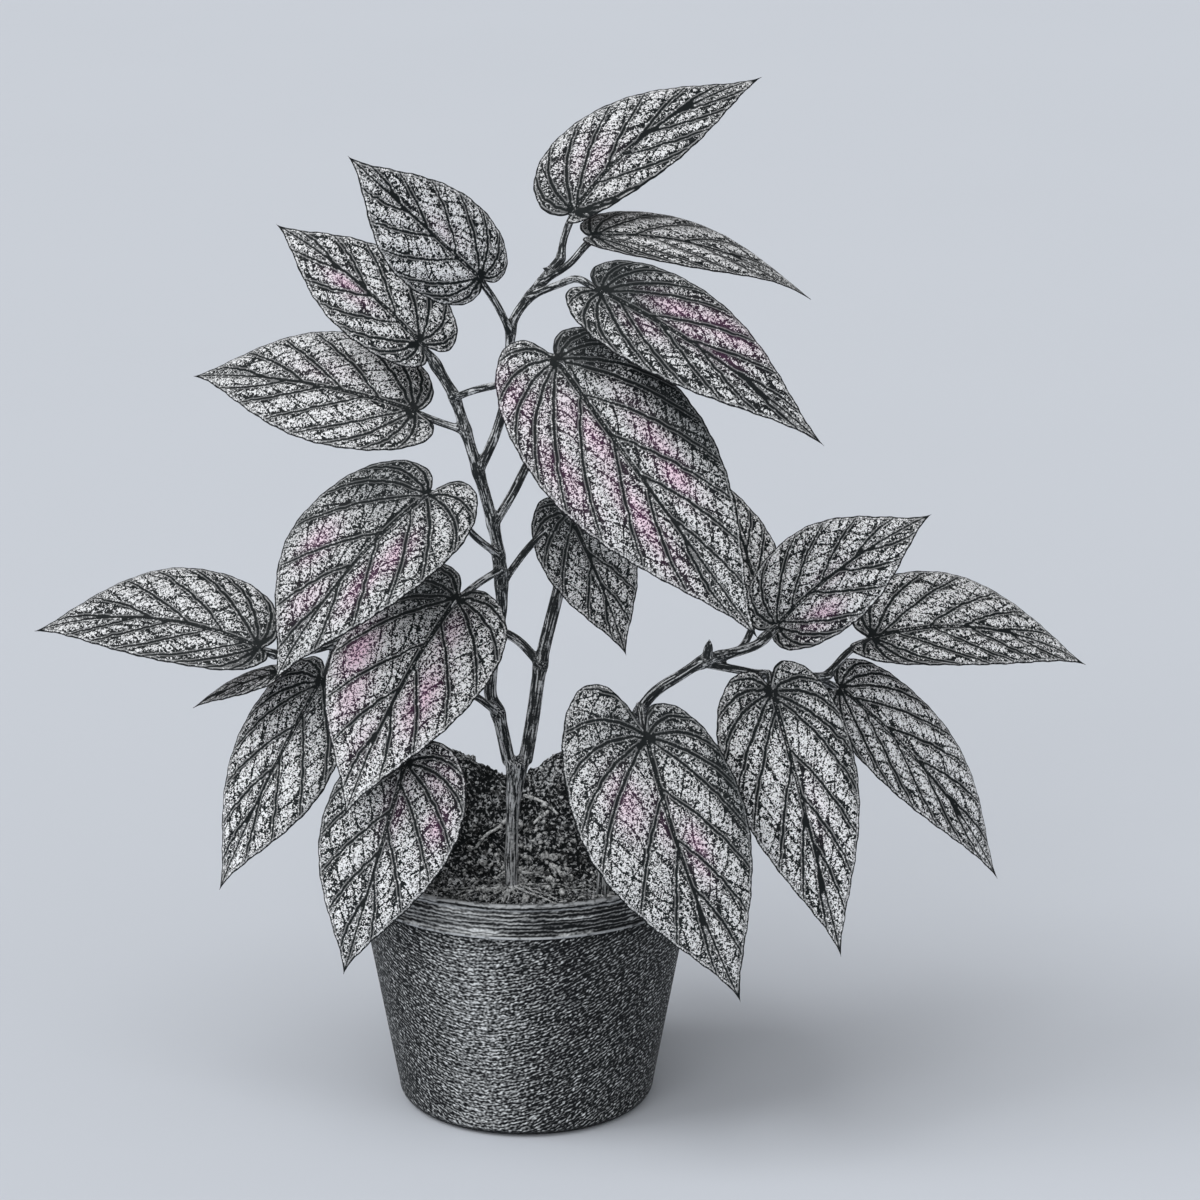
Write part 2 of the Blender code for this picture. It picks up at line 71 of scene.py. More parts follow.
STEMS = {
    "trunk": Stem(None, (3.2, 6.2), [
        (-7, -7, 100), (-7, -5, 125), (-6, -2, 153), (-4, 0, 174)]),
    "left_cane": Stem("trunk", (3.4, 2.6), [
        (-8, 0, 174), (-13, -3, 200), (-17, -4, 213), (-14, -4, 239), (-11, -4, 259), (-13, -4, 287),
        (-18, -2, 309), (-26, 2, 336), (-33, 8, 357), (-38, 10, 366), (-44, 12, 376)]),
    "right_cane": Stem("trunk", (3.6, 2.8), [
        (0, 1, 174), (4, 5, 197), (8, 12, 223), (15, 18, 251), (23, 26, 281), (32, 34, 309),
        (39, 40, 333)]),
    "upper_cane": Stem("left_cane", (2.6, 2.2), [
        (-22, 0, 323), (-14, 4, 340), (-9, 8, 357), (-7, 8, 377), (-5, 6, 396), (3, 5, 409),
        (13, 5, 421), (18, 5, 427)]),
    "side_shoot": Stem("left_cane", (2.4, 2.2), [
        (-14, -3, 298), (-5, 4, 312), (2, 12, 324), (12, 20, 336), (20, 26, 346)]),
    "right_branch": Stem(None, (3.4, 2.4), [
        (38, -14, 100), (40, -20, 138), (48, -31, 190), (60, -38, 219), (76, -36, 231),
        (88, -32, 237), (103, -24, 239), (113, -16, 240), (119, -9, 243)]),
    "lower_twig": Stem("right_branch", (2.2, 1.9), [
        (86, -32, 236), (103, -27, 231), (117, -20, 226), (135, -6, 220), (149, 6, 217)]),
    "left_shoot": Stem("right_cane", (2.4, 1.9), [
        (8, 11, 221), (-6, 22, 232), (-28, 28, 238), (-52, 20, 239), (-81, 0, 239), (-104, -16, 237),
        (-120, -26, 238)]),
}

BUDS = {
    "branch_bud": Bud("right_branch", (88, -32, 237), (90, -33, 249), 2.6),
    "crown_bud": Bud("upper_cane", (13, 5, 421), (9, 3, 424), 1.3),
}

# A leaf grows from a stem, at a share of its length, through its petiole's points (via) to its notch.
# faces: the blade's face, in degrees round from the front and up. left and right: that side's width, where
# along the blade it is widest and how far its lobe reaches back. bow: rise of the blade's middle off the
# line from notch to tip. tone: painted light and shade over the whole leaf, evening out how the lamps
# light the leaves; above nought it darkens a well lit leaf, below nought it lightens a poorly lit one.
# blush: flushed patches. shade: painted shade patches, where other leaves shadow the blade and in its
# notch. Each patch is (place along the blade and across it, half-length and half-width, strength) in
# shares of the length and of that side's width.
Leaf = namedtuple("Leaf", "stem at via notch tip faces left right bow tone blush shade", defaults=([], []))

LEAVES = {
    "crown": Leaf("upper_cane", 1.0, [(20, 8, 438)], (24, 6, 450), (116, 70, 504), (-12, 35),
        (38, 33, 10), (12, 50, 7), 4, 0, [(0.22, 0.42, 0.12, 0.25, 0.35)], [(0, 0.2, 0.1, 0.5, 0.5)]),
    "crown_side": Leaf("upper_cane", 0.88, [(22, -4, 427)], (33, 0, 440), (140, 35, 401), (10, 72),
        (32, 46, 5), (19, 40, 6), 9, -0.04, [], [(0, 0, 0.12, 0.7, 0.7)]),
    "upper_right": Leaf("upper_cane", 0.8, [(17, -8, 418), (27, -27, 425)], (37, -50, 425),
        (141, -95, 362), (8, 40), (29, 34, 11), (24, 26, 13), 7, 0.05, [(0.3, 0.38, 0.13, 0.2, 0.8),
        (0.46, 0.55, 0.14, 0.22, 0.8), (0.45, 0.12, 0.15, 0.12, 0.9), (0.22, -0.22, 0.1, 0.2, 0.4)],
        [(0.05, 0.35, 0.2, 0.6, 0.9), (0.45, 1.0, 0.35, 0.25, 0.45)]),
    "large_front": Leaf("left_cane", 0.9, [(-23, -8, 366), (-6, -30, 376)], (16, -45, 391),
        (111, -105, 271), (-8, 35), (39, 58, 11), (42, 44, 20), 9, 0.05, [(0.49, 0.31, 0.08, 0.13, 1.0),
        (0.4, 0.36, 0.16, 0.14, 0.7), (0.25, -0.2, 0.14, 0.12, 0.8), (0.52, -0.3, 0.17, 0.13, 0.9),
        (0.3, -0.72, 0.14, 0.16, 0.7), (0.15, -0.3, 0.1, 0.14, 0.5), (0.04, -0.62, 0.1, 0.2, 0.6)],
        [(0.22, 0.95, 0.36, 0.32, 1.2), (0.02, 0.55, 0.1, 0.45, 1.2), (0.6, 0.95, 0.25, 0.22, 0.6)]),
    "upper_left": Leaf("upper_cane", 0.62, [(-13, -3, 408)], (-20, -12, 422), (-81, -35, 486), (-15, 35),
        (27, 34, 6), (25, 24, 10), 5, -0.07, [(0.35, -0.16, 0.14, 0.16, 0.25)],
        [(0.1, 0.9, 0.25, 0.3, 0.4)]),
    "left_top": Leaf("left_cane", 1.0, [], (-50, 13, 384), (-121, 45, 436), (-18, 42), (21, 32, 9),
        (28, 24, 13), 5, -0.03, [(0.47, 0.1, 0.13, 0.2, 1.1)], [(0.3, -0.95, 0.35, 0.3, 0.5)]),
    "mid_left": Leaf("left_cane", 0.82, [(-40, 6, 346)], (-53, 10, 351), (-166, 75, 352), (-12, 45),
        (29, 36, 14), (35, 52, 7), 7, -0.01, [(0.41, -0.28, 0.14, 0.16, 0.2)], [(0, 0, 0.1, 0.5, 0.5)]),
    "left_front_upper": Leaf("left_cane", 0.52, [(-25, -20, 298), (-35, -46, 321)], (-44, -68, 331),
        (-115, -118, 254), (-18, 30), (31, 18, 16), (42, 44, 12), 7, 0.07, [(0.44, -0.58, 0.1, 0.13, 0.8),
        (0.29, 0.33, 0.1, 0.16, 0.9), (0.47, 0.22, 0.13, 0.14, 0.9), (0.66, -0.25, 0.1, 0.14, 0.5)],
        [(0.08, -0.55, 0.16, 0.5, 0.7), (0.35, -1.0, 0.3, 0.2, 0.35)]),
    "left_front_lower": Leaf("left_cane", 0.485, [(-22, -22, 273)], (-31, -45, 273), (-84, -105, 183),
        (-10, 30), (34, 26, 9), (42, 46, 15), 7, -0.05, [(0.38, -0.7, 0.11, 0.16, 1.2),
        (0.55, -0.52, 0.11, 0.14, 0.8), (0.46, 0.28, 0.14, 0.2, 1.0), (0.17, 0.2, 0.1, 0.16, 0.5),
        (0.7, -0.15, 0.1, 0.14, 0.4)], [(0.02, -0.45, 0.2, 0.6, 1.3), (0.25, -1.0, 0.2, 0.2, 0.5)]),
    "inner": Leaf("left_cane", 0.45, [(3, 6, 284)], (21, 16, 299), (50, -2, 230), (8, 30), (25, 22, 8),
        (23, 18, 10), 4, 0.03, [], [(0, 0.3, 0.35, 1.1, 1.0), (0.5, 1.0, 0.4, 0.3, 0.5)]),
    "far_left": Leaf("left_shoot", 1.0, [], (-128, -29, 243), (-243, 20, 236), (-15, 50), (17, 22, 6),
        (41, 52, 8), 6, 0.02, [], [(0, 0, 0.1, 0.6, 0.5)]),
    "young": Leaf("left_shoot", 0.93, [], (-119, -33, 231), (-163, -8, 205), (-25, 62), (8, 12, 4),
        (9, 18, 4), 2, -0.3),
    "lower_left": Leaf("left_shoot", 0.78, [], (-99, -14, 222), (-150, -35, 120), (-30, 28), (31, 42, 9),
        (27, 34, 9), 6, -0.05, [], [(0, 0.3, 0.22, 1.0, 0.9), (0.4, 1.0, 0.4, 0.25, 0.5)]),
    "rim_left": Leaf("left_cane", 0.13, [(-27, -26, 218), (-42, -55, 221)], (-56, -72, 199),
        (-86, -100, 101), (-12, 22), (36, 24, 14), (31, 34, 9), 6, 0, [(0.23, 0.69, 0.09, 0.14, 0.9),
        (0.03, 0.55, 0.08, 0.2, 0.5), (0.22, 0.08, 0.12, 0.14, 0.5)], [(0, -0.5, 0.22, 0.7, 1.0),
        (0.3, -1.0, 0.3, 0.2, 0.4)]),
    "rim_right": Leaf("right_branch", 0.59, [(56, -58, 222)], (59, -78, 214), (104, -118, 94), (8, 26),
        (33, 38, 14), (47, 34, 32), 8, 0.06, [(0.2, -0.45, 0.1, 0.16, 0.7), (0.44, 0.11, 0.09, 0.14, 0.9),
        (0.3, -0.15, 0.1, 0.12, 0.4)], [(0.25, 0.95, 0.35, 0.25, 0.9), (-0.05, 0, 0.12, 0.6, 0.6)]),
    "branch_front": Leaf("lower_twig", 0.44, [(119, -32, 230)], (120, -42, 225), (154, -72, 99), (12, 24),
        (31, 32, 13), (34, 29, 13), 7, -0.09, [(0.45, 0.15, 0.12, 0.15, 0.2)], [(0, 0, 0.12, 0.8, 0.8),
        (0.3, 0.95, 0.35, 0.25, 0.7)]),
    "branch_hanging": Leaf("lower_twig", 0.88, [], (155, 14, 209), (239, 40, 98), (25, 32), (31, 52, 9),
        (20, 30, 11), 7, -0.24, [], [(0, 0, 0.15, 0.9, 0.7), (0.35, 0.95, 0.35, 0.3, 0.4)]),
    "branch_top": Leaf("right_branch", 1.0, [], (123, -5, 246), (197, -15, 306), (5, 40), (33, 30, 12),
        (23, 34, 6), 4, -0.04, [(0.25, -0.45, 0.12, 0.22, 1.0), (0.4, 0.1, 0.12, 0.12, 0.3)],
        [(0, 0.1, 0.14, 0.5, 0.5)]),
    "branch_back": Leaf("right_branch", 0.84, [(105, -8, 235), (111, 8, 239)], (116, 20, 251),
        (97, 62, 304), (10, 35), (16, 20, 8), (16, 22, 8), 3, -0.16),
    "far_right": Leaf("lower_twig", 1.0, [(160, 17, 226)], (172, 25, 231), (284, 75, 201), (12, 48),
        (42, 46, 10), (16, 18, 12), 7, -0.06, [], [(0, -0.1, 0.12, 0.6, 0.7)]),
}

# Pot and soil
POT_HEIGHT = 131.0
RIM_RADIUS = 86.0
RIM_BAND = 18.0
BODY_TOP_RADIUS = 83.5
BODY_FOOT_RADIUS = 64.0
FOOT_ROUND = 7.0
WALL_TOP_RADIUS = 83.6
WALL_FOOT_RADIUS = 61.6
FLOOR = 4.8
PAD_RADIUS = 15.0
RECESS = 2.4
RECESS_RADIUS = 50.0
LIP_RADIUS = 1.5              # of the rolled edge at the top of the rim
POT_SIDES = 200
RIDGE_SPACING = 2.05          # of the fine lines drawn round the pot
DRAIN_HOLES = 6
DRAIN_RADIUS = 4.0
DRAIN_CIRCLE = 36.0
DRAIN_SIDES = 28
SOIL_LEVEL = 110.0
HEAP_BACK = 40.0
HEAP_SPREAD = 19.0
SADDLE_X = -7.0
SADDLE_HEIGHT = 44.0
SHOULDER_RISE = 20.0
SHOULDER_REACH = 22.0
HEAP_FADE = 6
SOIL_RINGS = 74
SOIL_SIDES = 260
SURFACE_ROOTS = [[(-9, 21), (-14, 17), (-20, 14), (-25, 9)], [(-1, 28), (4, 25), (10, 22), (16, 18)],
                 [(11, 20), (5, 19), (-1, 17)], [(-6, 4), (-12, 1), (-16, -4)], [(-4, 2), (4, 0), (11, -4)]]
# Fine roots round the foot of the trunk and of the right branch: how many, their ways in degrees, reach
FINE_ROOTS = (((-7.0, -6.0), 18, (160, 380), (14, 52)), ((40.0, -18.0), 8, (150, 390), (10, 28)))

# Stems
PETIOLE_RADIUS = 1.9
LEAST_PETIOLE_RADIUS = 0.6
SWELLING = 0.22               # how much thicker a stem is where something grows from it
SWELLING_REACH = 3.5
SKIN_VOXEL = 0.78
GRAIN_STRETCH = 0.22          # of the streaks along a stem

# Leaf blades
MIDRIB_SWAY = 0.35
FOLD = 0.1
ARCH = 0.16
BLADE_THICKNESS = 0.9
EDGE_THICKNESS = 0.35
CELL = 1.25                   # spacing of a blade's points
BULGE = 1.15                  # height of the quilting between veins
VEIN_TO_NOTCH = 0.43          # veins that end nearer than this share of the length start at the notch
VEIN_STRETCH = 1.32           # how much faster starts move along the midrib than ends along the margin
VEIN_STEPS = 15
# Half-widths along a vein: of the midrib, and for veins from the notch and from the midrib
MIDRIB_WIDTHS = np.array((0.95, 0.9, 0.62, 0.38))
MIDRIB_END = 0.26
NOTCH_VEIN_WIDTHS = np.array((0.45, 0.95, 0.85, 0.62, 0.42)) * 0.7
SIDE_VEIN_WIDTHS = np.array((0.4, 0.68, 0.74, 0.6, 0.4)) * 0.7
VEIN_BENDS = ((0.05, 0.18, 0.34, 0.6, 1.0), (0.19, 0.15, 0.06, 0.03, 0.04))     # where it ends, its bend
# A vein's two forks: least reach of the vein, where they leave it, how far along the margin they end from
# its own end in shares of the space between veins, their bend as a share of its bend, points
FORKS = ((16, (0.46, 0.6), -0.46, 0.5, 9), (22, (0.6, 0.75), 0.36, 0.3, 7))
FORK_WIDTH = 0.3
RUNG_WIDTH = 0.22

# Colours
PAPER, SHADED_PAPER, FLUSHED_PAPER = (0.8, 0.81, 0.825), (0.25, 0.265, 0.275), (0.8, 0.5, 0.66)
INK, FLUSHED_INK = (0.0055, 0.008, 0.009), (0.12, 0.03, 0.1)
UNDERSIDE, UNDERSIDE_INK = (0.62, 0.575, 0.585), (0.04, 0.024, 0.028)
STEM_DARK, STEM_PALE = (0.007, 0.01, 0.012), (0.6, 0.62, 0.64)
# The pot's third colour is the pale of its rubbed rims, partly painted highlight
POT_DARK, POT_PALE, POT_RUB_AND_HIGHLIGHT = (0.002, 0.003, 0.004), (0.96, 0.99, 1.0), (0.5, 0.52, 0.54)
SOIL_DARK, SOIL_PALE = (0.006, 0.008, 0.009), (0.66, 0.68, 0.7)
GRIT_DARK, GRIT_PALE = (0.16, 0.17, 0.175), (0.98, 1.0, 1.0)
TONE = -0.003                 # darkness of the leaves' stippling

# Plain studio, in metres and degrees
BACKDROP = (0.59, 0.624, 0.68)
SKY_STRENGTH = 0.33
SUNS = {"key": (-36, 66, 0.9, 40), "left": (-74, 46, 1.04, 32),        # azimuth, elevation, strength,
        "fill": (-20, 16, 1.2, 50), "side": (50, 30, 0.38, 60)}        # softness
FLOOR_REACH = 9000            # in millimetres
CAMERA_TARGET = (0.037, 0.0, 0.258)
CAMERA_ELEVATION = 17.0
CAMERA_DISTANCE = 2.3
CAMERA_LENS = 141.0


# ------------ curves

def smooth_route(route, steps):
    """A Catmull-Rom curve through the points of a route."""
    points = np.array(route, float)
    ends = np.vstack([2 * points[0] - points[1], points, 2 * points[-1] - points[-2]])
    curve = []
    for index in range(len(points) - 1):
        before, start, end, after = ends[index:index + 4]
        for t in np.arange(steps) / steps:
            curve.append(0.5 * (2 * start + (end - before) * t
                                + (2 * before - 5 * start + 4 * end - after) * t ** 2
                                + (3 * start - before - 3 * end + after) * t ** 3))
    return np.vstack(curve + [points[-1]])


def lengths_along(curve):
    return np.concatenate([[0], np.cumsum(np.linalg.norm(np.diff(curve, axis=0), axis=1))])


def along_curve(curve, shares):
    """Points at shares of a curve's length."""
    lengths = lengths_along(curve)
    wanted = np.asarray(shares) * lengths[-1]
    return np.stack([np.interp(wanted, lengths, curve[:, axis]) for axis in range(curve.shape[1])], -1)


def facing(azimuth, elevation):
    """A direction from degrees round from the front and up."""
    turn, rise = math.radians(azimuth), math.radians(elevation)
    return np.array((math.sin(turn) * math.cos(rise), -math.cos(turn) * math.cos(rise), math.sin(rise)))


def circle(sides):
    turn = 2 * math.pi * np.arange(sides) / sides
    return np.stack([np.cos(turn), np.sin(turn)], -1)


def shell_faces(rings, sides, first, low_end, high_end):
    """Faces of a closed shell: rings of points, the first at index first, and a point at either end."""
    faces = []
    last = first + (rings - 1) * sides
    for index in range(sides):
        after = (index + 1) % sides
        for low in range(first, last, sides):
            faces.append((low + index, low + after, low + sides + after, low + sides + index))
        faces.append((low_end, first + after, first + index))
        faces.append((high_end, last + index, last + after))
    return faces


def ring_frames(curve):
    """At each point of a curve: its direction, and two directions square to it that don't twist."""
    tangents = np.gradient(curve, axis=0)
    tangents /= np.linalg.norm(tangents, axis=1)[:, None]
    side = np.array(Vector(tangents[0]).orthogonal().normalized())
    sides = []
    for tangent in tangents:
        side = side - tangent * side.dot(tangent)
        side /= np.linalg.norm(side)
        sides.append(side)
    sides = np.array(sides)
    return tangents, sides, np.cross(tangents, sides)


def tube(curve, radii, sides):
    """Points and faces of a closed tube with rounded ends."""
    tangents, across, rise = ring_frames(curve)
    way = circle(sides)[None]
    spokes = way[:, :, :1] * across[:, None] + way[:, :, 1:] * rise[:, None]
    rings = curve[:, None] + np.asarray(radii)[:, None, None] * spokes
    points = np.vstack([rings.reshape(-1, 3), curve[0] - tangents[0] * radii[0] * 0.6,
                        curve[-1] + tangents[-1] * radii[-1] * 0.6])
    return points, shell_faces(len(curve), sides, 0, len(points) - 2, len(points) - 1)


def make_object(name, points, faces, material, body=True):
    """One mesh object from points in millimetres."""
    mesh = bpy.data.meshes.new(name)
    mesh.from_pydata((np.asarray(points) * MM).tolist(), [], faces)
    mesh.shade_smooth()
    piece = bpy.data.objects.new(name, mesh)
    bpy.context.scene.collection.objects.link(piece)
    if material:
        mesh.materials.append(material)
    if body:
        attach(piece, "root")
    return piece


def merged(shapes):
    """Several (points, faces) as one."""
    points, faces, total = [], [], 0
    for some_points, some_faces in shapes:
        points.append(some_points)
        faces += [tuple(corner + total for corner in face) for face in some_faces]
        total += len(some_points)
    return np.vstack(points), faces


def set_attribute(mesh, name, values):
    values = np.asarray(values, np.float32)
    kind = "FLOAT_VECTOR" if values.ndim == 2 else "FLOAT"
    mesh.attributes.new(name, kind, "POINT").data.foreach_set(
        "vector" if values.ndim == 2 else "value", values.ravel())


# ------------ materials

class Term:
    """A value inside a node material, for writing formulas."""

    def __init__(self, graph, socket):
        self.graph = graph
        self.socket = socket

    def __add__(self, other):
        return self.graph.math("ADD", self, other)

    def __sub__(self, other):
        return self.graph.math("SUBTRACT", self, other)

    def __rsub__(self, other):
        return self.graph.math("SUBTRACT", other, self)

    def __mul__(self, other):
        return self.graph.math("MULTIPLY", self, other)

    def __abs__(self):
        return self.graph.math("ABSOLUTE", self)

    __radd__ = __add__
    __rmul__ = __mul__


class Graph:
    """A node material, written as formulas of terms."""

    def __init__(self, name):
        self.material = bpy.data.materials.new(name)
        self.material.use_nodes = True
        self.nodes = self.material.node_tree.nodes
        self.links = self.material.node_tree.links
        self.shader = self.nodes.get("Principled BSDF")

    def put(self, socket, value):
        if isinstance(value, Term):
            self.links.new(value.socket, socket)
        elif isinstance(value, tuple) and len(socket.default_value) == 4:
            socket.default_value = (*value, 1.0)
        else:
            socket.default_value = value

    def node(self, kind, output, inputs, **settings):
        made = self.nodes.new(kind)
        for key, value in settings.items():
            setattr(made, key, value)
        for key, value in inputs.items():
            self.put(made.inputs[key], value)
        return Term(self, made.outputs[output])

    def math(self, operation, *values):
        return self.node("ShaderNodeMath", 0, dict(enumerate(values)), operation=operation)

    def largest(self, first, *others):
        for other in others:
            first = self.math("MAXIMUM", first, other)
        return first

    def step(self, value, low, high, start=0.0, end=1.0):
        """A smooth step from start to end as value goes from low to high."""
        return self.node("ShaderNodeMapRange", 0, {"Value": value, "From Min": low, "From Max": high,
                                                   "To Min": start, "To Max": end},
                         interpolation_type="SMOOTHSTEP")

    def mix(self, share, first, second):
        """A mix of two colours."""
        return self.node("ShaderNodeMix", 2, {0: share, 6: first, 7: second}, data_type="RGBA",
                         clamp_factor=True)

    def attribute(self, name, output="Fac"):
        return self.node("ShaderNodeAttribute", output, {}, attribute_name=name)

    def object_point(self):
        return self.node("ShaderNodeTexCoord", "Object", {})

    def scaled(self, vector, factors):
        return self.node("ShaderNodeVectorMath", 0, {0: vector, 1: factors}, operation="MULTIPLY")

    def axes(self, vector):
        made = self.nodes.new("ShaderNodeSeparateXYZ")
        self.put(made.inputs[0], vector)
        return [Term(self, output) for output in made.outputs]

    def point(self, x, y, z):
        return self.node("ShaderNodeCombineXYZ", 0, {0: x, 1: y, 2: z})

    def noise(self, vector, scale, detail=1.0, distortion=0.0, roughness=0.5, dimensions="3D"):
        return self.node("ShaderNodeTexNoise", 0,
                         {"Vector": vector, "Scale": scale, "Detail": detail, "Roughness": roughness,
                          "Distortion": distortion}, noise_dimensions=dimensions)

    def bump(self, height, strength, distance):
        return self.node("ShaderNodeBump", 0, {"Strength": strength, "Distance": distance,
                                               "Height": height})

    def finish(self, colour, roughness, normal, specular):
        for key, value in (("Base Color", colour), ("Roughness", roughness), ("Normal", normal),
                           ("Specular IOR Level", specular), ("Metallic", 0.0)):
            if value is not None:
                self.put(self.shader.inputs[key], value)
        return self.material


def leaf_material():
    """Pale blades stippled with dark flecks, closer together in painted shade beside the veins and
    in the painted shade patches.
    """
    g = Graph("begonia_leaf")
    vein, vein_width, fine, edge, shade, blush, under = map(g.attribute, (
        "vein", "vein_width", "fine_vein", "edge", "shade", "blush", "under"))
    plane = g.attribute("plane", "Vector")
    x, y, _ = g.axes(plane)

    # The stippling: two crossing sets of wandering lines, broken up by flecks
    twist = (g.noise(plane, 0.42, 1.0, 0.4, dimensions="2D") - 0.5) * 26.0
    scrawl = g.math("SINE", x * 2.6 + y * 1.1 + twist)
    counter = g.math("SINE", y * 2.3 - (x * 0.9 + twist))
    flecks = g.noise(plane, 0.8, 0.5, 0.9, dimensions="2D")
    dust = g.noise(plane, 2.0, 0.0, 0.3, dimensions="2D")
    drift = g.noise(plane, 0.085, 1.5, 0.3, dimensions="2D")
    grain = -0.02 + scrawl * 0.19 + counter * 0.15 + (flecks - 0.5) * 1.45 + (dust - 0.5) * 0.12

    # How dark it is drawn there, painted shade included
    outside = vein - vein_width
    # painted shade along the veins, where the blade dips into its vein grooves
    beside = g.step(outside, 3.2, 0.2, 0.0, 0.29)
    by_edge = g.step(edge, 2.4, 0.2, 0.0, 0.1)
    fine_line = g.step(fine, 0.65, 0.05, 0.0, 0.38)
    tone = beside + by_edge + fine_line + shade * 0.13 + (drift - 0.5) * 0.32 + TONE
    ink = g.step(grain + tone, -0.13, 0.17)

    # Veins with a paler core and a hairline beside them, and the blade's drawn edge
    core = g.step(vein, 0.5, 0.15) * g.step(vein_width, 0.62, 0.8, 0.0, 0.6)
    clear = g.step(abs(outside - 0.45), 0.4, 0.1, 0.0, 0.22)
    hair_line = (g.step(abs(outside - 0.95), 0.34, 0.06) * g.step(vein_width, 0.3, 0.6, 0.0, 0.65)
                 * g.step(flecks, 0.36, 0.48))
    inner_line = g.step(abs(edge - 1.6), 0.4, 0.08) * 0.5
    lines = g.largest(g.step(outside, 0.32, -0.2) * (1.0 - core), g.step(edge, 0.62, 0.34), inner_line,
                      hair_line)
    pale_rim = g.step(abs(edge - 1.05), 0.4, 0.12) * 0.35
    ink = g.largest(ink * (1.0 - pale_rim) * (1.0 - clear), lines)

    # the paper turns to SHADED_PAPER in painted shade
    paper = g.mix(g.step(shade, -0.4, 1.3), PAPER, SHADED_PAPER)
    paper = g.mix(blush * 0.6, paper, FLUSHED_PAPER)
    top = g.mix(ink, paper, g.mix(blush * 0.5, INK, FLUSHED_INK))
    below = g.mix(ink, UNDERSIDE, UNDERSIDE_INK)
    relief = g.bump(1.0 - ink, 0.15, 0.0004)
    return g.finish(g.mix(under, top, below), g.step(flecks, 0.3, 0.7, 0.62, 0.5), relief, 0.13)


def stem_material():
    """Dark canes with pale lengthwise flecks and darker joints; painted light makes them paler
    near the soil, where the foliage shades them, and they are darker higher up.
    """
    g = Graph("begonia_stem")
    along = g.attribute("grain", "Vector")
    place = g.object_point()
    streaks = g.noise(g.scaled(along, (1.0, 1.0, 0.35)), 1.5, 1.0, 0.4, 0.55)
    long_streaks = g.noise(g.scaled(along, (0.8, 0.8, 0.3)), 1.0, 1.0, 0.3)
    mottle = g.noise(g.scaled(along, (1.0, 1.0, 2.6)), 0.28, 2.0)
    specks = g.noise(place, 900.0, 0.5, 0.6)
    # the last term is painted light: paler below the fork, against the foliage's shade there, darker above
    # it
    light = ((streaks - 0.5) * 2.1 + (long_streaks - 0.5) * 1.1 + (specks - 0.5) * 0.6
             + (mottle - 0.5) * 0.35 + g.attribute("joint") * -0.15
             + g.step(g.axes(place)[2], 0.185, 0.16, -0.09, 0.1))
    pale = g.step(light, -0.1, 0.38)
    relief = g.bump(light, 0.35, 0.0006)
    return g.finish(g.mix(pale, STEM_DARK, STEM_PALE), g.step(pale, 0.0, 1.0, 0.62, 0.5), relief, 0.3)


def pot_material():
    """Charcoal plastic with fine drawn lines, a painted highlight down the front left, painted
    shadow under the rim band, and pale rubbed edges that are partly painted highlight.
    """
    g = Graph("charcoal_pot")
    place = g.object_point()
    x, y, z = g.axes(place)
    # front: the bearing round from the middle of the painted highlight; towards: 1 there, 0 opposite
    front = g.math("ARCTAN2", y, x) + 1.9
    towards = g.math("COSINE", front) * 0.5 + 0.5
    lean = g.math("COSINE", front * 2.0) * 0.019
    wander = g.noise(g.point(x * 0.6, y * 0.6, z), 430.0, 1.0)
    specks = g.noise(g.point(x * 0.7, y * 0.7, z + lean), 1050.0, 0.3)
    broad = g.noise(g.scaled(place, (0.6, 0.6, 1.0)), 28.0, 2.0)
    streaks = g.noise(g.point(x * 0.1, y * 0.1, z), 420.0, 1.2)
    breaks = g.noise(place, 300.0, 1.0)
    band_foot = (POT_HEIGHT - RIM_BAND) * MM
    on_band = g.step(z, band_foot - 0.0002, band_foot + 0.0002)
    above_foot = g.step(z, 0.0023, 0.0042)
    # painted shadow: the wall drawn darker in the 14 mm just under the rim band's overhang
    painted_shadow_under_band = g.step(z, band_foot - 0.014, band_foot - 0.001) * (1.0 - on_band)
    # painted highlight: a pale upright streak down the front left, kept off the foot
    painted_highlight = g.math("POWER", towards, 24.0) * above_foot

    bend = (wander - 0.5) * (11.5 - on_band * 5.5) + (streaks - 0.5) * (on_band * 9.0)
    slant = z + lean * (1.0 - on_band)
    ridges = g.math("SINE", slant * (2 * math.pi / (RIDGE_SPACING * MM)) + bend)
    marks = (ridges * (0.215 - on_band * 0.005) + (specks - 0.5) * (1.25 - on_band * 0.85)
             + (streaks - 0.5) * (on_band * 0.8))
    marks = marks * (1.3 - painted_highlight * 0.3) * (0.25 + above_foot * 0.75)
    # the tone holds the painted highlight, the painted shadow under the band, slow random mottling, the
    # band's paler tone and the drawn marks
    tone = (0.08 + painted_highlight * 0.29 + (broad - 0.5) * 0.08 + painted_shadow_under_band * -0.09 + on_band * 0.055) + marks
    pale = g.math("POWER", g.largest(tone, 0.04), 2.0)
    pale = g.math("MINIMUM", pale * 1.2, 0.8)

    # Pale rings along the lip and the band's foot: part edge wear, part painted highlight; the ring at the
    # band's foot fades away from the painted highlight's side
    def ring(height, reach, strength):
        worn_and_lit = g.step(abs(z - height * MM), reach * MM, 0.3 * reach * MM) * strength
        return worn_and_lit * g.step(breaks, 0.36, 0.5, 0.25, 1.0)

    rubbed_and_lit_edges = g.largest(ring(POT_HEIGHT - 0.5, 0.8, 0.65), ring(POT_HEIGHT - 3.1, 0.6, 0.45),
                       ring(POT_HEIGHT - RIM_BAND + 0.9, 0.9, 0.95) * g.math("POWER", towards, 3.0))
    colour = g.mix(rubbed_and_lit_edges, g.mix(pale, POT_DARK, POT_PALE), POT_RUB_AND_HIGHLIGHT)
    relief = g.bump(marks, 0.4, 0.0004)
    return g.finish(colour, g.step(pale, 0.0, 0.5, 0.6, 0.48), relief, 0.12)


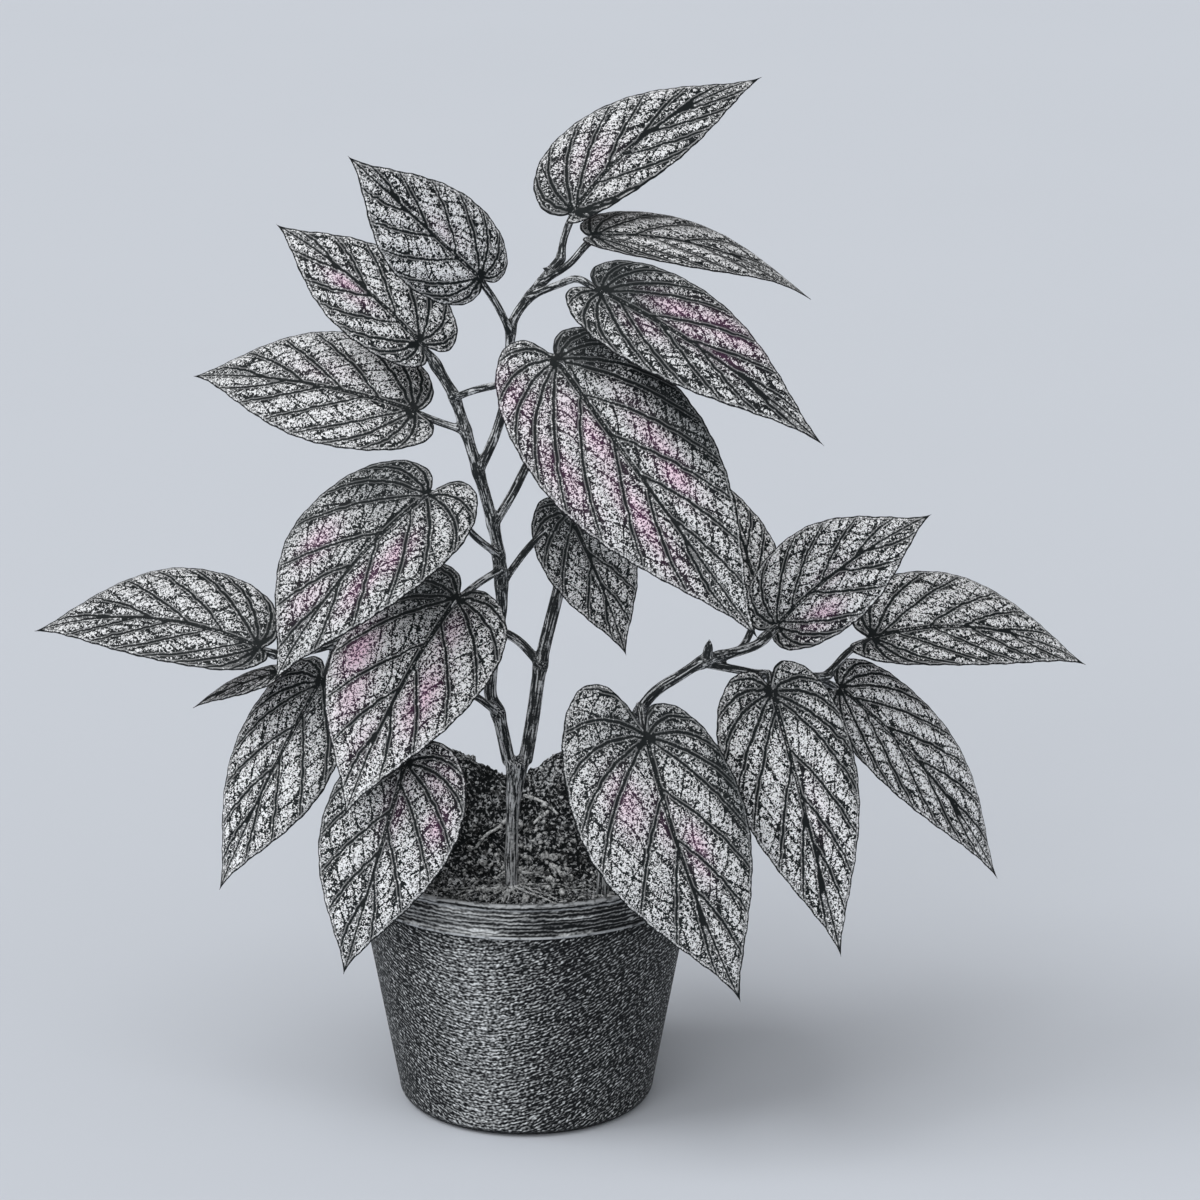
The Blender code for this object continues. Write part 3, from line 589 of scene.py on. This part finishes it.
def soil_material():
    """Nearly black compost with pale crumbs, and paler still where an attribute says."""
    g = Graph("potting_mix")
    place = g.object_point()
    crumbs = g.noise(place, 640.0, 1.5, 0.8, 0.6)
    damp = g.noise(place, 60.0, 2.0)
    light = (crumbs - 0.5) * 2.2 + (damp - 0.5) * 0.7
    dark = g.mix(g.step(light, -0.02, 0.52), SOIL_DARK, SOIL_PALE)
    grit = g.mix(g.step(light, -0.4, 0.15), GRIT_DARK, GRIT_PALE)
    relief = g.bump(crumbs, 0.8, 0.0012)
    return g.finish(g.mix(g.attribute("pale"), dark, grit), 0.92, relief, 0.15)


def floor_material():
    g = Graph("studio_floor")
    mottle = g.noise(g.object_point(), 3.0, 2.0)
    colour = g.mix(mottle, tuple(0.99 * c for c in BACKDROP), tuple(1.01 * c for c in BACKDROP))
    return g.finish(colour, 0.95, None, 0.0)


# ------------ pot

def arc(centre_radius, centre_height, radius, start, end, count):
    """Profile points round an arc, in degrees."""
    return [(centre_radius + radius * math.cos(turn), centre_height + radius * math.sin(turn))
            for turn in np.radians(np.linspace(start, end, count))]


def straight(start, end, count):
    """Profile points between two points, without its ends."""
    return [tuple(np.array(start) + (np.array(end) - np.array(start)) * step / (count + 1))
            for step in range(1, count + 1)]


def turned(profile, sides):
    """Points and faces of a profile turned about +Z; it starts and ends on the axis."""
    rings = np.array(profile[1:-1])
    shell = np.concatenate([rings[:, None, :1] * circle(sides)[None], np.broadcast_to(
        rings[:, None, 1:], (len(rings), sides, 1))], -1)
    points = np.vstack([[(0, 0, profile[0][1]), (0, 0, profile[-1][1])], shell.reshape(-1, 3)])
    return points, shell_faces(len(rings), sides, 2, 0, 1)


def make_pot(material):
    """A moulded nursery pot: rounded foot, tapered wall, deep rim band with a rolled lip."""
    rim, top, band = RIM_RADIUS, POT_HEIGHT, POT_HEIGHT - RIM_BAND
    foot, neck = BODY_FOOT_RADIUS - FOOT_ROUND, (BODY_TOP_RADIUS - 0.6, band - 2.5)
    profile = [(0, 0), (PAD_RADIUS - 1, 0), (PAD_RADIUS, 0.3), (PAD_RADIUS + 2, RECESS - 0.2),
               (PAD_RADIUS + 3, RECESS), (RECESS_RADIUS - 1, RECESS), (RECESS_RADIUS, RECESS - 0.2),
               (RECESS_RADIUS + 2, 0.2), (RECESS_RADIUS + 3, 0), (foot, 0)]
    profile += arc(foot, FOOT_ROUND, FOOT_ROUND, -80, 0, 9)
    profile += straight((BODY_FOOT_RADIUS, FOOT_ROUND), neck, 26)
    profile += [neck, (BODY_TOP_RADIUS - 0.9, band - 0.9), (BODY_TOP_RADIUS - 0.2, band - 0.2)]
    profile += arc(rim - 0.9, band + 1.0, 1.1, -80, 60, 7)
    profile += [(rim - 0.55, band + 2.4), (rim - 0.5, band + 4.0)]
    profile += straight((rim - 0.5, band + 4.0), (rim - 0.2, top - 5.4), 6)
    profile += [(rim - 0.2, top - 5.4), (rim - 0.7, top - 4.5), (rim - 0.7, top - 4.0),
                (rim - 0.1, top - 3.2)]
    profile += arc(rim - LIP_RADIUS + 0.3, top - LIP_RADIUS, LIP_RADIUS, -20, 110, 9)
    profile += [(WALL_TOP_RADIUS + 0.3, top - 0.35), (WALL_TOP_RADIUS, top - 1.2)]
    profile += straight((WALL_TOP_RADIUS, top - 1.2), (WALL_FOOT_RADIUS, FLOOR), 8)
    profile += [(WALL_FOOT_RADIUS, FLOOR), (0, FLOOR)]
    pot = make_object("nursery_pot_shell", *turned(profile, POT_SIDES), material)
    drains = [tube(np.array([(x, y, -3.0), (x, y, FLOOR + 3.0)]), [DRAIN_RADIUS] * 2, DRAIN_SIDES)
              for x, y in DRAIN_CIRCLE * circle(DRAIN_HOLES)]
    cutter = make_object("drains", *merged(drains), None, body=False)
    modifier = pot.modifiers.new("drains", "BOOLEAN")
    modifier.operation = "DIFFERENCE"
    modifier.solver = "EXACT"
    modifier.object = cutter
    settle(pot)
    bpy.data.objects.remove(cutter, do_unlink=True)
    pot.data.shade_smooth()
    pot.data.set_sharp_from_angle(angle=math.radians(42))
    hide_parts("nursery_pot")


def settle(piece):
    """Applies a piece's modifiers to its mesh."""
    graph = bpy.context.evaluated_depsgraph_get()
    mesh = bpy.data.meshes.new_from_object(piece.evaluated_get(graph))
    piece.modifiers.clear()
    piece.data = mesh


# ------------ soil

def wall_radius(height):
    share = (height - FLOOR) / (POT_HEIGHT - FLOOR)
    return WALL_FOOT_RADIUS + (WALL_TOP_RADIUS - WALL_FOOT_RADIUS) * share


def soil_height(x, y):
    """Level soil near the wall, heaped into a ridge with two shoulders behind the trunk."""
    from_axis = np.minimum(np.hypot(x, y) / wall_radius(POT_HEIGHT), 1.0)
    ridge = np.exp(-0.5 * ((y - HEAP_BACK) / HEAP_SPREAD) ** 2)
    shoulders = 1 - np.exp(-((x - SADDLE_X) / SHOULDER_REACH) ** 2)
    heap = ridge * (SADDLE_HEIGHT + SHOULDER_RISE * shoulders)
    return SOIL_LEVEL + heap * (1 - from_axis ** HEAP_FADE)


def rough_soil_height(x, y):
    """The soil's surface with crumbs and hollows."""
    flat = soil_height(np.asarray(x, float), np.asarray(y, float))
    lumps = [1.8 * noise.noise((px / 13, py / 13, 1.5)) + 1.2 * abs(noise.noise((px / 5.2, py / 5.2, 7.5)))
             + 1.1 * noise.noise((px / 2.4, py / 2.4, 3.5)) for px, py in zip(np.ravel(x), np.ravel(y))]
    fade = np.clip((wall_radius(SOIL_LEVEL) - np.hypot(x, y)) / 4.0, 0.0, 1.0)
    return flat - 0.8 + np.reshape(lumps, np.shape(flat)) * (0.35 + 0.65 * fade)


def ground(x, y):
    """The rough soil's height at one place."""
    return float(rough_soil_height(x, y))


def crumb(centre, size, rng, points, faces):
    """A lumpy grain: its own random stretch and dents."""
    stretch = rng.uniform(0.65, 1.25, 3)
    spin, _ = np.linalg.qr(rng.normal(size=(3, 3)))
    dents = 1 + 0.28 * rng.normal(size=len(points))[:, None]
    return (points * dents * stretch) @ spin * size + centre, faces


def ball(level):
    """Points and faces of a small round mesh."""
    work = bmesh.new()
    bmesh.ops.create_icosphere(work, subdivisions=level, radius=1.0)
    points = np.array([v.co for v in work.verts])
    faces = [tuple(v.index for v in f.verts) for f in work.faces]
    work.free()
    return points, faces


def make_soil(material):
    """Soil that fills the pot, rough on top, with crumbs, grit, strands and fine roots on it."""
    outer = wall_radius(SOIL_LEVEL) - 0.4
    inner, bottom = WALL_FOOT_RADIUS - 0.5, FLOOR + 0.1
    shares = np.linspace(1.0, 0.0, SOIL_RINGS + 1)[:-1, None]
    x, y = (outer * shares * way for way in circle(SOIL_SIDES).T)
    base = np.column_stack([inner * circle(SOIL_SIDES), np.full(SOIL_SIDES, bottom)])
    points = np.vstack([[(0, 0, bottom)], [(0, 0, ground(0.0, 0.0))],
                        base, np.stack([x, y, rough_soil_height(x, y)], -1).reshape(-1, 3)])
    rng = np.random.default_rng(7)
    shapes = [(points, shell_faces(SOIL_RINGS + 1, SOIL_SIDES, 2, 0, 1))]
    pale = [np.zeros(len(points))]
    coarse, fine = ball(2), ball(1)

    def scatter(count, sizes, place, shade, shape):
        for _ in range(count):
            px, py = place()
            if math.hypot(px, py) > outer - 2.5:
                continue
            size = rng.uniform(*sizes)
            pz = ground(px, py) + 0.25 * size
            shapes.append(crumb((px, py, pz), size, rng, *shape))
            pale.append(np.full(len(shape[0]), rng.uniform(*shade)))

    def anywhere():
        far = outer * math.sqrt(rng.uniform(0, 1))
        way = rng.uniform(0, 2 * math.pi)
        return far * math.cos(way), far * math.sin(way)

    def front():
        return rng.normal(0, 17), rng.normal(3, 9)

    def strand(places, lift, steps, radii, sides, shade):
        line = [(px, py, ground(px, py) + lift) for px, py in places]
        curve = smooth_route(line, steps)
        shapes.append(tube(curve, np.linspace(*radii, len(curve)), sides))
        pale.append(np.full(len(shapes[-1][0]), shade))

    scatter(300, (0.9, 2.3), anywhere, (0.0, 0.1), coarse)
    scatter(700, (0.5, 1.2), anywhere, (0.0, 0.25), fine)
    scatter(210, (0.5, 1.3), front, (0.3, 0.9), fine)
    scatter(34, (1.1, 2.0), front, (0.5, 0.9), coarse)
    scatter(150, (0.5, 1.2), anywhere, (0.3, 0.8), fine)
    for places in SURFACE_ROOTS:
        strand(places, 0.7, 6, (1.0, 0.6), 7, 0.75)
    for foot, count, ways, reaches in FINE_ROOTS:
        for _ in range(count):
            way = math.radians(rng.uniform(*ways))
            reach = rng.uniform(*reaches)
            wander = rng.normal(size=7).cumsum() * 0.07
            line = [np.array(foot) + reach * share * np.array((math.cos(way + turn), math.sin(way + turn)))
                    for share, turn in zip(np.linspace(0.06, 1.0, 7), wander)]
            line = [place for place in line if math.hypot(*place) < outer - 3]
            if len(line) >= 3:
                strand(line, 0.5, 4, (rng.uniform(0.35, 0.75), 0.25), 6, rng.uniform(0.35, 0.75))
    soil = make_object("potting_mix", *merged(shapes), material)
    set_attribute(soil.data, "pale", np.concatenate(pale))
    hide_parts("potting_soil")


# ------------ leaf blades

def bezier(p0, p1, p2, p3, t):
    s = 1 - t[:, None]
    t = t[:, None]
    return (s ** 3 * np.array(p0) + 3 * s * s * t * np.array(p1)
            + 3 * s * t * t * np.array(p2) + t ** 3 * np.array(p3))


def margin(length, side, t):
    """Points on one side's margin: the lobe for t from 0 to 1, then the blade's edge up to t = 2."""
    width, widest, lobe = side
    rest = length - widest
    low = bezier((0, 0), (-1.9 * lobe, 0.1 * width), (-0.9 * lobe, width), (widest, width),
                 np.minimum(t, 1))
    high = bezier((widest, width), (widest + 0.45 * rest, width), (length - 0.22 * rest, 0.1 * width),
                  (length, 0), np.maximum(t - 1, 0))
    return np.where(t[:, None] <= 1, low, high)


def leaf_frame(leaf):
    """Origin, length and directions of a blade: along it, across it, and out of its face."""
    notch = np.array(leaf.notch, float)
    chord = np.array(leaf.tip) - notch
    length = np.linalg.norm(chord)
    along = chord / length
    out = facing(*leaf.faces)
    out -= along * out.dot(along)
    out /= np.linalg.norm(out)
    return notch, length, along, np.cross(out, along), out


def hump(share):
    return 4 * share * (1 - share)


def nearest_on(points, starts, ends, start_widths=0.0, end_widths=0.0):
    """For each point, its distance to the nearest of some broad segments, which one, and where on it."""
    spans = ends - starts
    squares = np.maximum((spans ** 2).sum(1), 1e-12)
    best, which, where = [], [], []
    for low in range(0, len(points), CHUNK):
        some = points[low:low + CHUNK, None] - starts
        share = np.clip((some * spans).sum(2) / squares, 0, 1)
        gap = np.linalg.norm(some - share[:, :, None] * spans, axis=2)
        nearest = (gap - start_widths * (1 - share) - end_widths * share).argmin(1)
        rows = np.arange(len(nearest))
        best.append(gap[rows, nearest])
        which.append(nearest)
        where.append(share[rows, nearest])
    return np.concatenate(best), np.concatenate(which), np.concatenate(where)


def vein(points, *widths):
    """A line in a blade's plane, with its half-width at every point from some widths along it."""
    places = np.linspace(0, len(widths) - 1, len(points))
    return points, np.interp(places, range(len(widths)), widths)


def to_veins(points, veins):
    """Distance to the nearest vein, and that vein's half-width there."""
    starts = np.vstack([line[:-1] for line, _ in veins])
    ends = np.vstack([line[1:] for line, _ in veins])
    start_widths = np.concatenate([widths[:-1] for _, widths in veins])
    end_widths = np.concatenate([widths[1:] for _, widths in veins])
    gap, which, where = nearest_on(points, starts, ends, start_widths, end_widths)
    return gap, start_widths[which] * (1 - where) + end_widths[which] * where


def bent(start, end, bend, count):
    """A quadratic curve from start to end that stands off its chord by a share of it."""
    start, end = np.array(start, float), np.array(end, float)
    span = end - start
    middle = start + span / 2 + np.array((-span[1], span[0])) * bend * 2
    t = np.linspace(0, 1, count)[:, None]
    return (1 - t) ** 2 * start + 2 * t * (1 - t) * middle + t ** 2 * end


def plan_veins(leaf, length, sway, rng):
    """Main veins from the notch and midrib, and fine ones: their forks and the rungs between them."""
    main, fine = [], []
    size = min(1.0, 0.45 + length / 220)
    rib_x = np.linspace(0.5, 0.985 * length, 30)
    rib = np.stack([rib_x, sway * hump(rib_x / length)], -1)
    main.append(vein(rib, *MIDRIB_WIDTHS * size, MIDRIB_END))
    for sign, side in ((1, leaf.left), (-1, leaf.right)):
        edge = margin(length, side, np.linspace(0.16, 1.93, 120)) * (1, sign)
        run = lengths_along(edge)
        count = round(4 + length / 35)
        gap = run[-1] / (count + 0.35)
        curves = []

        def at(distance):
            return np.array([np.interp(distance, run, edge[:, axis]) for axis in (0, 1)])

        for number in range(count):
            place = gap * (number + 0.68 - 0.2 * sign + rng.uniform(-0.08, 0.08))
            end = at(place)
            reached = end[0] / length
            start_x = max(VEIN_STRETCH * (reached - VEIN_TO_NOTCH) * length, 0.8)
            start = np.array((start_x, sway * hump(start_x / length)))
            reach = np.linalg.norm(end - start)
            bend = sign * (np.interp(reached, *VEIN_BENDS) + rng.uniform(-0.02, 0.02))
            curve = bent(start, start + (end - start) * 0.965, bend, VEIN_STEPS + 1)
            curve[1:-1] += rng.normal(0, 0.22, (VEIN_STEPS - 1, 2))
            widths = NOTCH_VEIN_WIDTHS if start_x < 1 else SIDE_VEIN_WIDTHS
            main.append(vein(curve, *widths * size))
            curves.append(curve)
            for least_reach, leaves_at, shift, share, points in FORKS:
                if reach > least_reach and (shift < 0 or number < count - 1):
                    fork = curve[int(rng.uniform(*leaves_at) * VEIN_STEPS)]
                    target = at(np.clip(place + shift * gap, 1.0, run[-1]))
                    curved = bent(fork, fork + (target - fork) * 0.94, share * bend, points)
                    fine.append(vein(curved, FORK_WIDTH))
        for lower, upper in zip(curves, curves[1:]):
            rungs = int(np.clip(np.linalg.norm(lower[-1] - lower[0]) / 7.5, 2, 7))
            for rung in range(rungs):
                share = (rung + 0.7 + rng.uniform(-0.2, 0.2)) / (rungs + 0.3)
                here = lower[int(share * VEIN_STEPS)]
                there = upper[int(max(share - 0.1 + rng.uniform(-0.06, 0.06), 0) * VEIN_STEPS)]
                if np.linalg.norm(there - here) > 3.0:
                    fine.append(vein(bent(here, there, rng.uniform(-0.16, 0.16), 6), RUNG_WIDTH))
    return main, fine


def grown_outline(leaf, length):
    """The blade's outline with small waves, so that it isn't a bare curve."""
    t = np.concatenate([np.linspace(0.045, 1.0, 400), np.linspace(1.0, 2.0, 500)[1:]])
    outline = []
    for sign, side in ((1, leaf.left), (-1, leaf.right)):
        edge = margin(length, side, t) * (1, sign)
        steps = int(lengths_along(edge)[-1] / 1.05)
        run = np.linspace(0, lengths_along(edge)[-1], steps)
        edge = along_curve(edge, np.linspace(0, 1, steps))
        direction = np.gradient(edge, axis=0)
        direction /= np.linalg.norm(direction, axis=1)[:, None]
        outward = np.stack([-direction[:, 1], direction[:, 0]], -1) * sign
        phase = hash_unit(leaf.notch, sign) * 6.28
        wave = 0.2 * np.sin(run / 2.3 + phase) + 0.1 * np.sin(run / 0.9 + 2 * phase)
        wave *= np.clip(run / 8, 0, 1) * np.clip((run[-1] - run) / 14, 0, 1)
        edge = edge + outward * (wave - 0.1)[:, None]
        outline.append(edge if sign == 1 else edge[::-1][1:])
    return np.vstack(outline)


def hash_unit(place, sign):
    """A steady number from 0 to 1 for a place."""
    return math.modf(abs(math.sin(place[0] * 12.9 + place[2] * 78.2 + sign * 3.7)) * 437.5)[0]


def inside(points, outline):
    """Which points are inside a closed outline."""
    result = np.zeros(len(points), bool)
    for start, end in zip(outline, np.roll(outline, -1, axis=0)):
        crosses = (start[1] > points[:, 1]) != (end[1] > points[:, 1])
        if crosses.any():
            share = (points[:, 1] - start[1]) / (end[1] - start[1] + 1e-12)
            result ^= crosses & (points[:, 0] < start[0] + share * (end[0] - start[0]))
    return result


def patches(spots, x, y, leaf, length):
    """Soft oval patches on the blade, stretched along the veins."""
    total = np.zeros(len(x))
    for place_x, place_y, half_x, half_y, strength in spots:
        width = leaf.left[0] if place_y > 0 else leaf.right[0]
        across = (y - place_y * width) / (half_y * width)
        along = (x - place_x * length) / (half_x * length)
        total = np.maximum(total, strength * np.exp(-(across ** 2 + along ** 2) * 0.9))
    return total


def fill_outline(outline, lines, leaf, length):
    """Points and triangles inside an outline, with edges along its lines."""
    closed = np.roll(outline, -1, axis=0)
    fixed = [outline]
    borders = [(index, (index + 1) % len(outline)) for index in range(len(outline))]
    for points, _ in lines:
        steps = max(int(lengths_along(points)[-1] / CELL), 2)
        points = along_curve(points, np.linspace(0, 1, steps + 1))
        points = points[inside(points, outline)]
        if len(points):
            points = points[nearest_on(points, outline, closed)[0] > 0.45]
        first = sum(len(some) for some in fixed)
        fixed.append(points)
        borders += [(first + step, first + step + 1) for step in range(len(points) - 1)]
    fixed = np.vstack(fixed)
    grid_x, grid_y = np.meshgrid(np.arange(outline[:, 0].min(), length, CELL),
                                 np.arange(-leaf.right[0], leaf.left[0], CELL * 0.866))
    grid_x[::2] += CELL / 2
    grid = np.stack([grid_x.ravel(), grid_y.ravel()], -1)
    grid = grid[inside(grid, outline)]
    cells = {}
    for point in fixed:
        cells.setdefault((int(point[0] // 2), int(point[1] // 2)), []).append(point)
    keep = []
    for point in grid:
        cx, cy = int(point[0] // 2), int(point[1] // 2)
        near = [other for i in (-1, 0, 1) for j in (-1, 0, 1) for other in cells.get((cx + i, cy + j), ())]
        keep.append(not near or ((np.array(near) - point) ** 2).sum(1).min() > (0.62 * CELL) ** 2)
    flat = np.vstack([fixed, grid[np.array(keep)]])
    made = delaunay_2d_cdt([Vector(point) for point in flat], borders, [], 1, 1e-4, False)
    flat = np.array([tuple(point) for point in made[0]])
    triangles = np.array(made[2])
    return flat, triangles[inside(flat[triangles].mean(1), outline)]


def closed_faces(triangles, count):
    """Faces of a closed sheet: the triangles, the same turned over on later points, and its edge."""
    top = triangles.tolist()
    seen = {(face[index - 1], face[index]) for face in top for index in range(3)}
    edge = [(b, a, a + count, b + count) for a, b in seen if (b, a) not in seen]
    return top + [(c + count, b + count, a + count) for a, b, c in top] + edge


def make_leaf(name, leaf, material):
    """A thin closed blade with quilted cells between its veins, waved and pointed."""
    notch, length, along, across, out = leaf_frame(leaf)
    rng = np.random.default_rng(int(1000 * hash_unit(leaf.notch, 1)))
    sway = MIDRIB_SWAY * (leaf.left[0] - leaf.right[0])
    widest = max(leaf.left[0], leaf.right[0])
    main, fine = plan_veins(leaf, length, sway, rng)
    outline = grown_outline(leaf, length)
    flat, triangles = fill_outline(outline, main + fine, leaf, length)

    x, y = flat.T
    gap, vein_width = to_veins(flat, main)
    fine_gap, _ = to_veins(flat, fine)
    edge, edge_which, edge_where = nearest_on(flat, outline, np.roll(outline, -1, axis=0))
    share = x / length
    rib_y = sway * hump(np.clip(share, 0, 1))
    arch = np.abs(y - rib_y * (1 - np.minimum(np.abs(y) / widest, 1))) / widest
    height = leaf.bow * hump(share) + FOLD * widest * arch - ARCH * widest * arch ** 2
    by_margin = 1 - np.exp(-edge / 3.0)
    quilt = (1 - np.exp(-(gap / 3.2) ** 2)) * (0.75 + 0.25 * (1 - np.exp(-(fine_gap / 1.5) ** 2)))
    small = min(1.0, widest / 30)
    wave = 0.5 * small * np.sin((edge_which + edge_where) / 15.0 + 6 * hash_unit(leaf.notch, 1))
    wave *= np.exp(-edge / 7.0) * np.clip((length - x) / 20, 0, 1)
    top = height + BULGE * small * (quilt * by_margin - 0.45) + wave
    half = 0.5 * (EDGE_THICKNESS + (BLADE_THICKNESS - EDGE_THICKNESS) * by_margin)
    ribs = (0.35 + 0.9 * vein_width) * np.exp(-(gap / (0.55 + vein_width)) ** 2) * np.clip(edge / 3, 0, 1)

    def placed(heights):
        return notch + np.outer(x, along) + np.outer(y, across) + np.outer(heights, out)

    count = len(flat)
    points = np.vstack([placed(top + half), placed(top - half - ribs)])
    piece = make_object(f"begonia_leaf_{name}", points, closed_faces(triangles, count), material)
    apart = 400 * hash_unit(leaf.tip, 1)
    plane = np.stack([x + apart, y + 0.7 * apart, np.zeros(count)], -1)
    blush = patches(leaf.blush, x, y, leaf, length)
    blush *= np.clip((gap - vein_width) / 2.2, 0, 1)
    # shade attribute: the painted shade patches plus the leaf's painted light and shade (tone)
    shade = patches(leaf.shade, x, y, leaf, length) + leaf.tone * 3
    for key, values in dict(vein=gap, vein_width=vein_width, fine_vein=fine_gap, edge=edge, blush=blush,
                            shade=shade, plane=plane).items():
        set_attribute(piece.data, key, np.concatenate([values, values]))
    set_attribute(piece.data, "under", np.repeat([0.0, 1.0], count))
    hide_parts(f"leaf_{name}")


# ------------ stems

def plan_stems():
    """Fine centre lines and radii of all canes, with swollen joints where something grows from them."""
    joints = {name: [] for name in STEMS}
    lines = {}
    for name, stem in STEMS.items():
        curve = smooth_route(stem.route, 10)
        steps = max(int(lengths_along(curve)[-1] / 1.6), 12)
        lines[name] = along_curve(curve, np.linspace(0, 1, steps))
    for name, stem in STEMS.items():
        if stem.parent and stem.parent != "trunk":
            joints[stem.parent].append(lines[name][0])
    for leaf in LEAVES.values():
        joints[leaf.stem].append(along_curve(lines[leaf.stem], [min(leaf.at, 0.985)])[0])
    for bud in BUDS.values():
        joints[bud.stem].append(np.array(bud.foot, float))
    radii = {}
    for name, stem in STEMS.items():
        radius = np.linspace(*stem.radii, len(lines[name]))
        for joint in joints[name]:
            gap = np.linalg.norm(lines[name] - joint, axis=1)
            radius = radius * (1 + SWELLING * np.exp(-(gap / SWELLING_REACH) ** 2))
        if name == "trunk":
            share = np.linspace(0, 1, len(radius))
            radius = 3.0 + 0.6 * np.exp(-((share - 0.32) / 0.12) ** 2) + 3.1 * share ** 5
        radii[name] = radius
    return lines, radii, joints


def make_stems(material):
    """Canes, shoots, petioles and buds grown together into one skin."""
    lines, radii, joints = plan_stems()
    tracks = [lines[name] for name in STEMS]
    shapes = [tube(lines[name], radii[name], 14) for name in STEMS]
    for name, leaf in LEAVES.items():
        notch, length, along, _, out = leaf_frame(leaf)
        start = along_curve(lines[leaf.stem], [leaf.at])[0]
        rib = [notch + along * length * share + out * (leaf.bow * hump(share) - drop)
               for share, drop in ((0.01, 2.3), (0.09, 2.0), (0.19, 1.4))]
        curve = smooth_route([start, *leaf.via, *rib], 12)
        steps = max(int(lengths_along(curve)[-1] / 1.3), 10)
        curve = along_curve(curve, np.linspace(0, 1, steps))
        run = lengths_along(curve)
        to_notch = np.linalg.norm(curve - notch, axis=1)
        past = np.clip((run - run[to_notch.argmin()]) / (0.19 * length), 0, 1)
        radius = 1 + 0.45 * np.exp(-(run / 4.0) ** 2) + 0.12 * np.exp(-(to_notch / 5) ** 2)
        radius = PETIOLE_RADIUS * radius * (1 - 0.72 * past ** 0.8)
        if name == "young":
            radius = radius * 0.8
        shapes.append(tube(curve, np.maximum(radius, LEAST_PETIOLE_RADIUS), 12))
        tracks.append(curve)
    for bud in BUDS.values():
        foot, point = np.array(bud.foot, float), np.array(bud.point, float)
        curve = smooth_route([foot, (foot + point) / 2 + (0.4, 0, 0), point], 8)
        share = np.linspace(0, 1, len(curve))
        fullness = 0.55 + 0.45 * np.sin(math.pi * np.minimum(share / 0.9, 1)) - 0.45 * share ** 3
        shapes.append(tube(curve, bud.radius * fullness, 12))
        tracks.append(curve)
    stems = make_object("begonia_stems", *merged(shapes), material)
    remesh = stems.modifiers.new("skin", "REMESH")
    remesh.mode = "VOXEL"
    remesh.voxel_size = SKIN_VOXEL * MM
    remesh.use_smooth_shade = True
    smooth = stems.modifiers.new("soften", "SMOOTH")
    smooth.factor = 0.5
    smooth.iterations = 3
    settle(stems)
    mesh = stems.data
    points = np.zeros(len(mesh.vertices) * 3, np.float32)
    mesh.vertices.foreach_get("co", points)
    points = points.reshape(-1, 3) / MM
    _, turns, rises = (np.concatenate(ways) for ways in zip(*map(ring_frames, tracks)))
    runs = np.concatenate([lengths_along(curve) + 500.0 * number for number, curve in enumerate(tracks)])
    centres = np.concatenate(tracks)
    nearest = nearest_on(points, centres, centres)[1]
    gap = points - centres[nearest]
    set_attribute(mesh, "grain", np.stack([(gap * turns[nearest]).sum(1), (gap * rises[nearest]).sum(1),
                                           runs[nearest] * GRAIN_STRETCH], -1))
    knots = np.vstack([some for some in joints.values() if some])
    to_knot = nearest_on(points, knots, knots)[0]
    set_attribute(mesh, "joint", np.exp(-(to_knot / SWELLING_REACH) ** 2))
    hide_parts(*STEMS, *BUDS)


# ------------ studio

def make_studio():
    """A plain floor, soft suns, and a camera at the front."""
    corners = [(x * FLOOR_REACH, y * FLOOR_REACH, 0) for x, y in ((-1, -1), (1, -1), (1, 1), (-1, 1))]
    floor = make_object("studio_floor", corners, [(0, 1, 2, 3)], floor_material(), body=False)
    scene = bpy.context.scene
    scene.world = bpy.data.worlds.new("studio")
    scene.world.use_nodes = True
    background = scene.world.node_tree.nodes["Background"]
    background.inputs["Color"].default_value = (1.0, 1.0, 1.0, 1.0)
    background.inputs["Strength"].default_value = SKY_STRENGTH

    for name, (azimuth, elevation, strength, softness) in SUNS.items():
        sun = bpy.data.lights.new(name, "SUN")
        sun.energy = strength
        sun.angle = math.radians(softness)
        holder = bpy.data.objects.new(name, sun)
        towards = Vector(facing(azimuth, elevation))
        holder.location = Vector((0, 0, 0.2)) + towards * 1.6
        holder.rotation_euler = towards.to_track_quat("Z", "Y").to_euler()
        scene.collection.objects.link(holder)

    camera = bpy.data.cameras.new("camera")
    camera.lens = CAMERA_LENS
    camera.clip_end = 60.0
    holder = bpy.data.objects.new("camera", camera)
    holder.location = Vector(CAMERA_TARGET) + Vector(facing(0, CAMERA_ELEVATION)) * CAMERA_DISTANCE
    holder.rotation_euler = (math.radians(90 - CAMERA_ELEVATION), 0, 0)
    scene.collection.objects.link(holder)
    scene.camera = holder
    scene.view_settings.view_transform = "Standard"


make_studio()
make_pot(pot_material())
make_soil(soil_material())
make_stems(stem_material())
blade = leaf_material()
for leaf_name, leaf_facts in LEAVES.items():
    make_leaf(leaf_name, leaf_facts, blade)
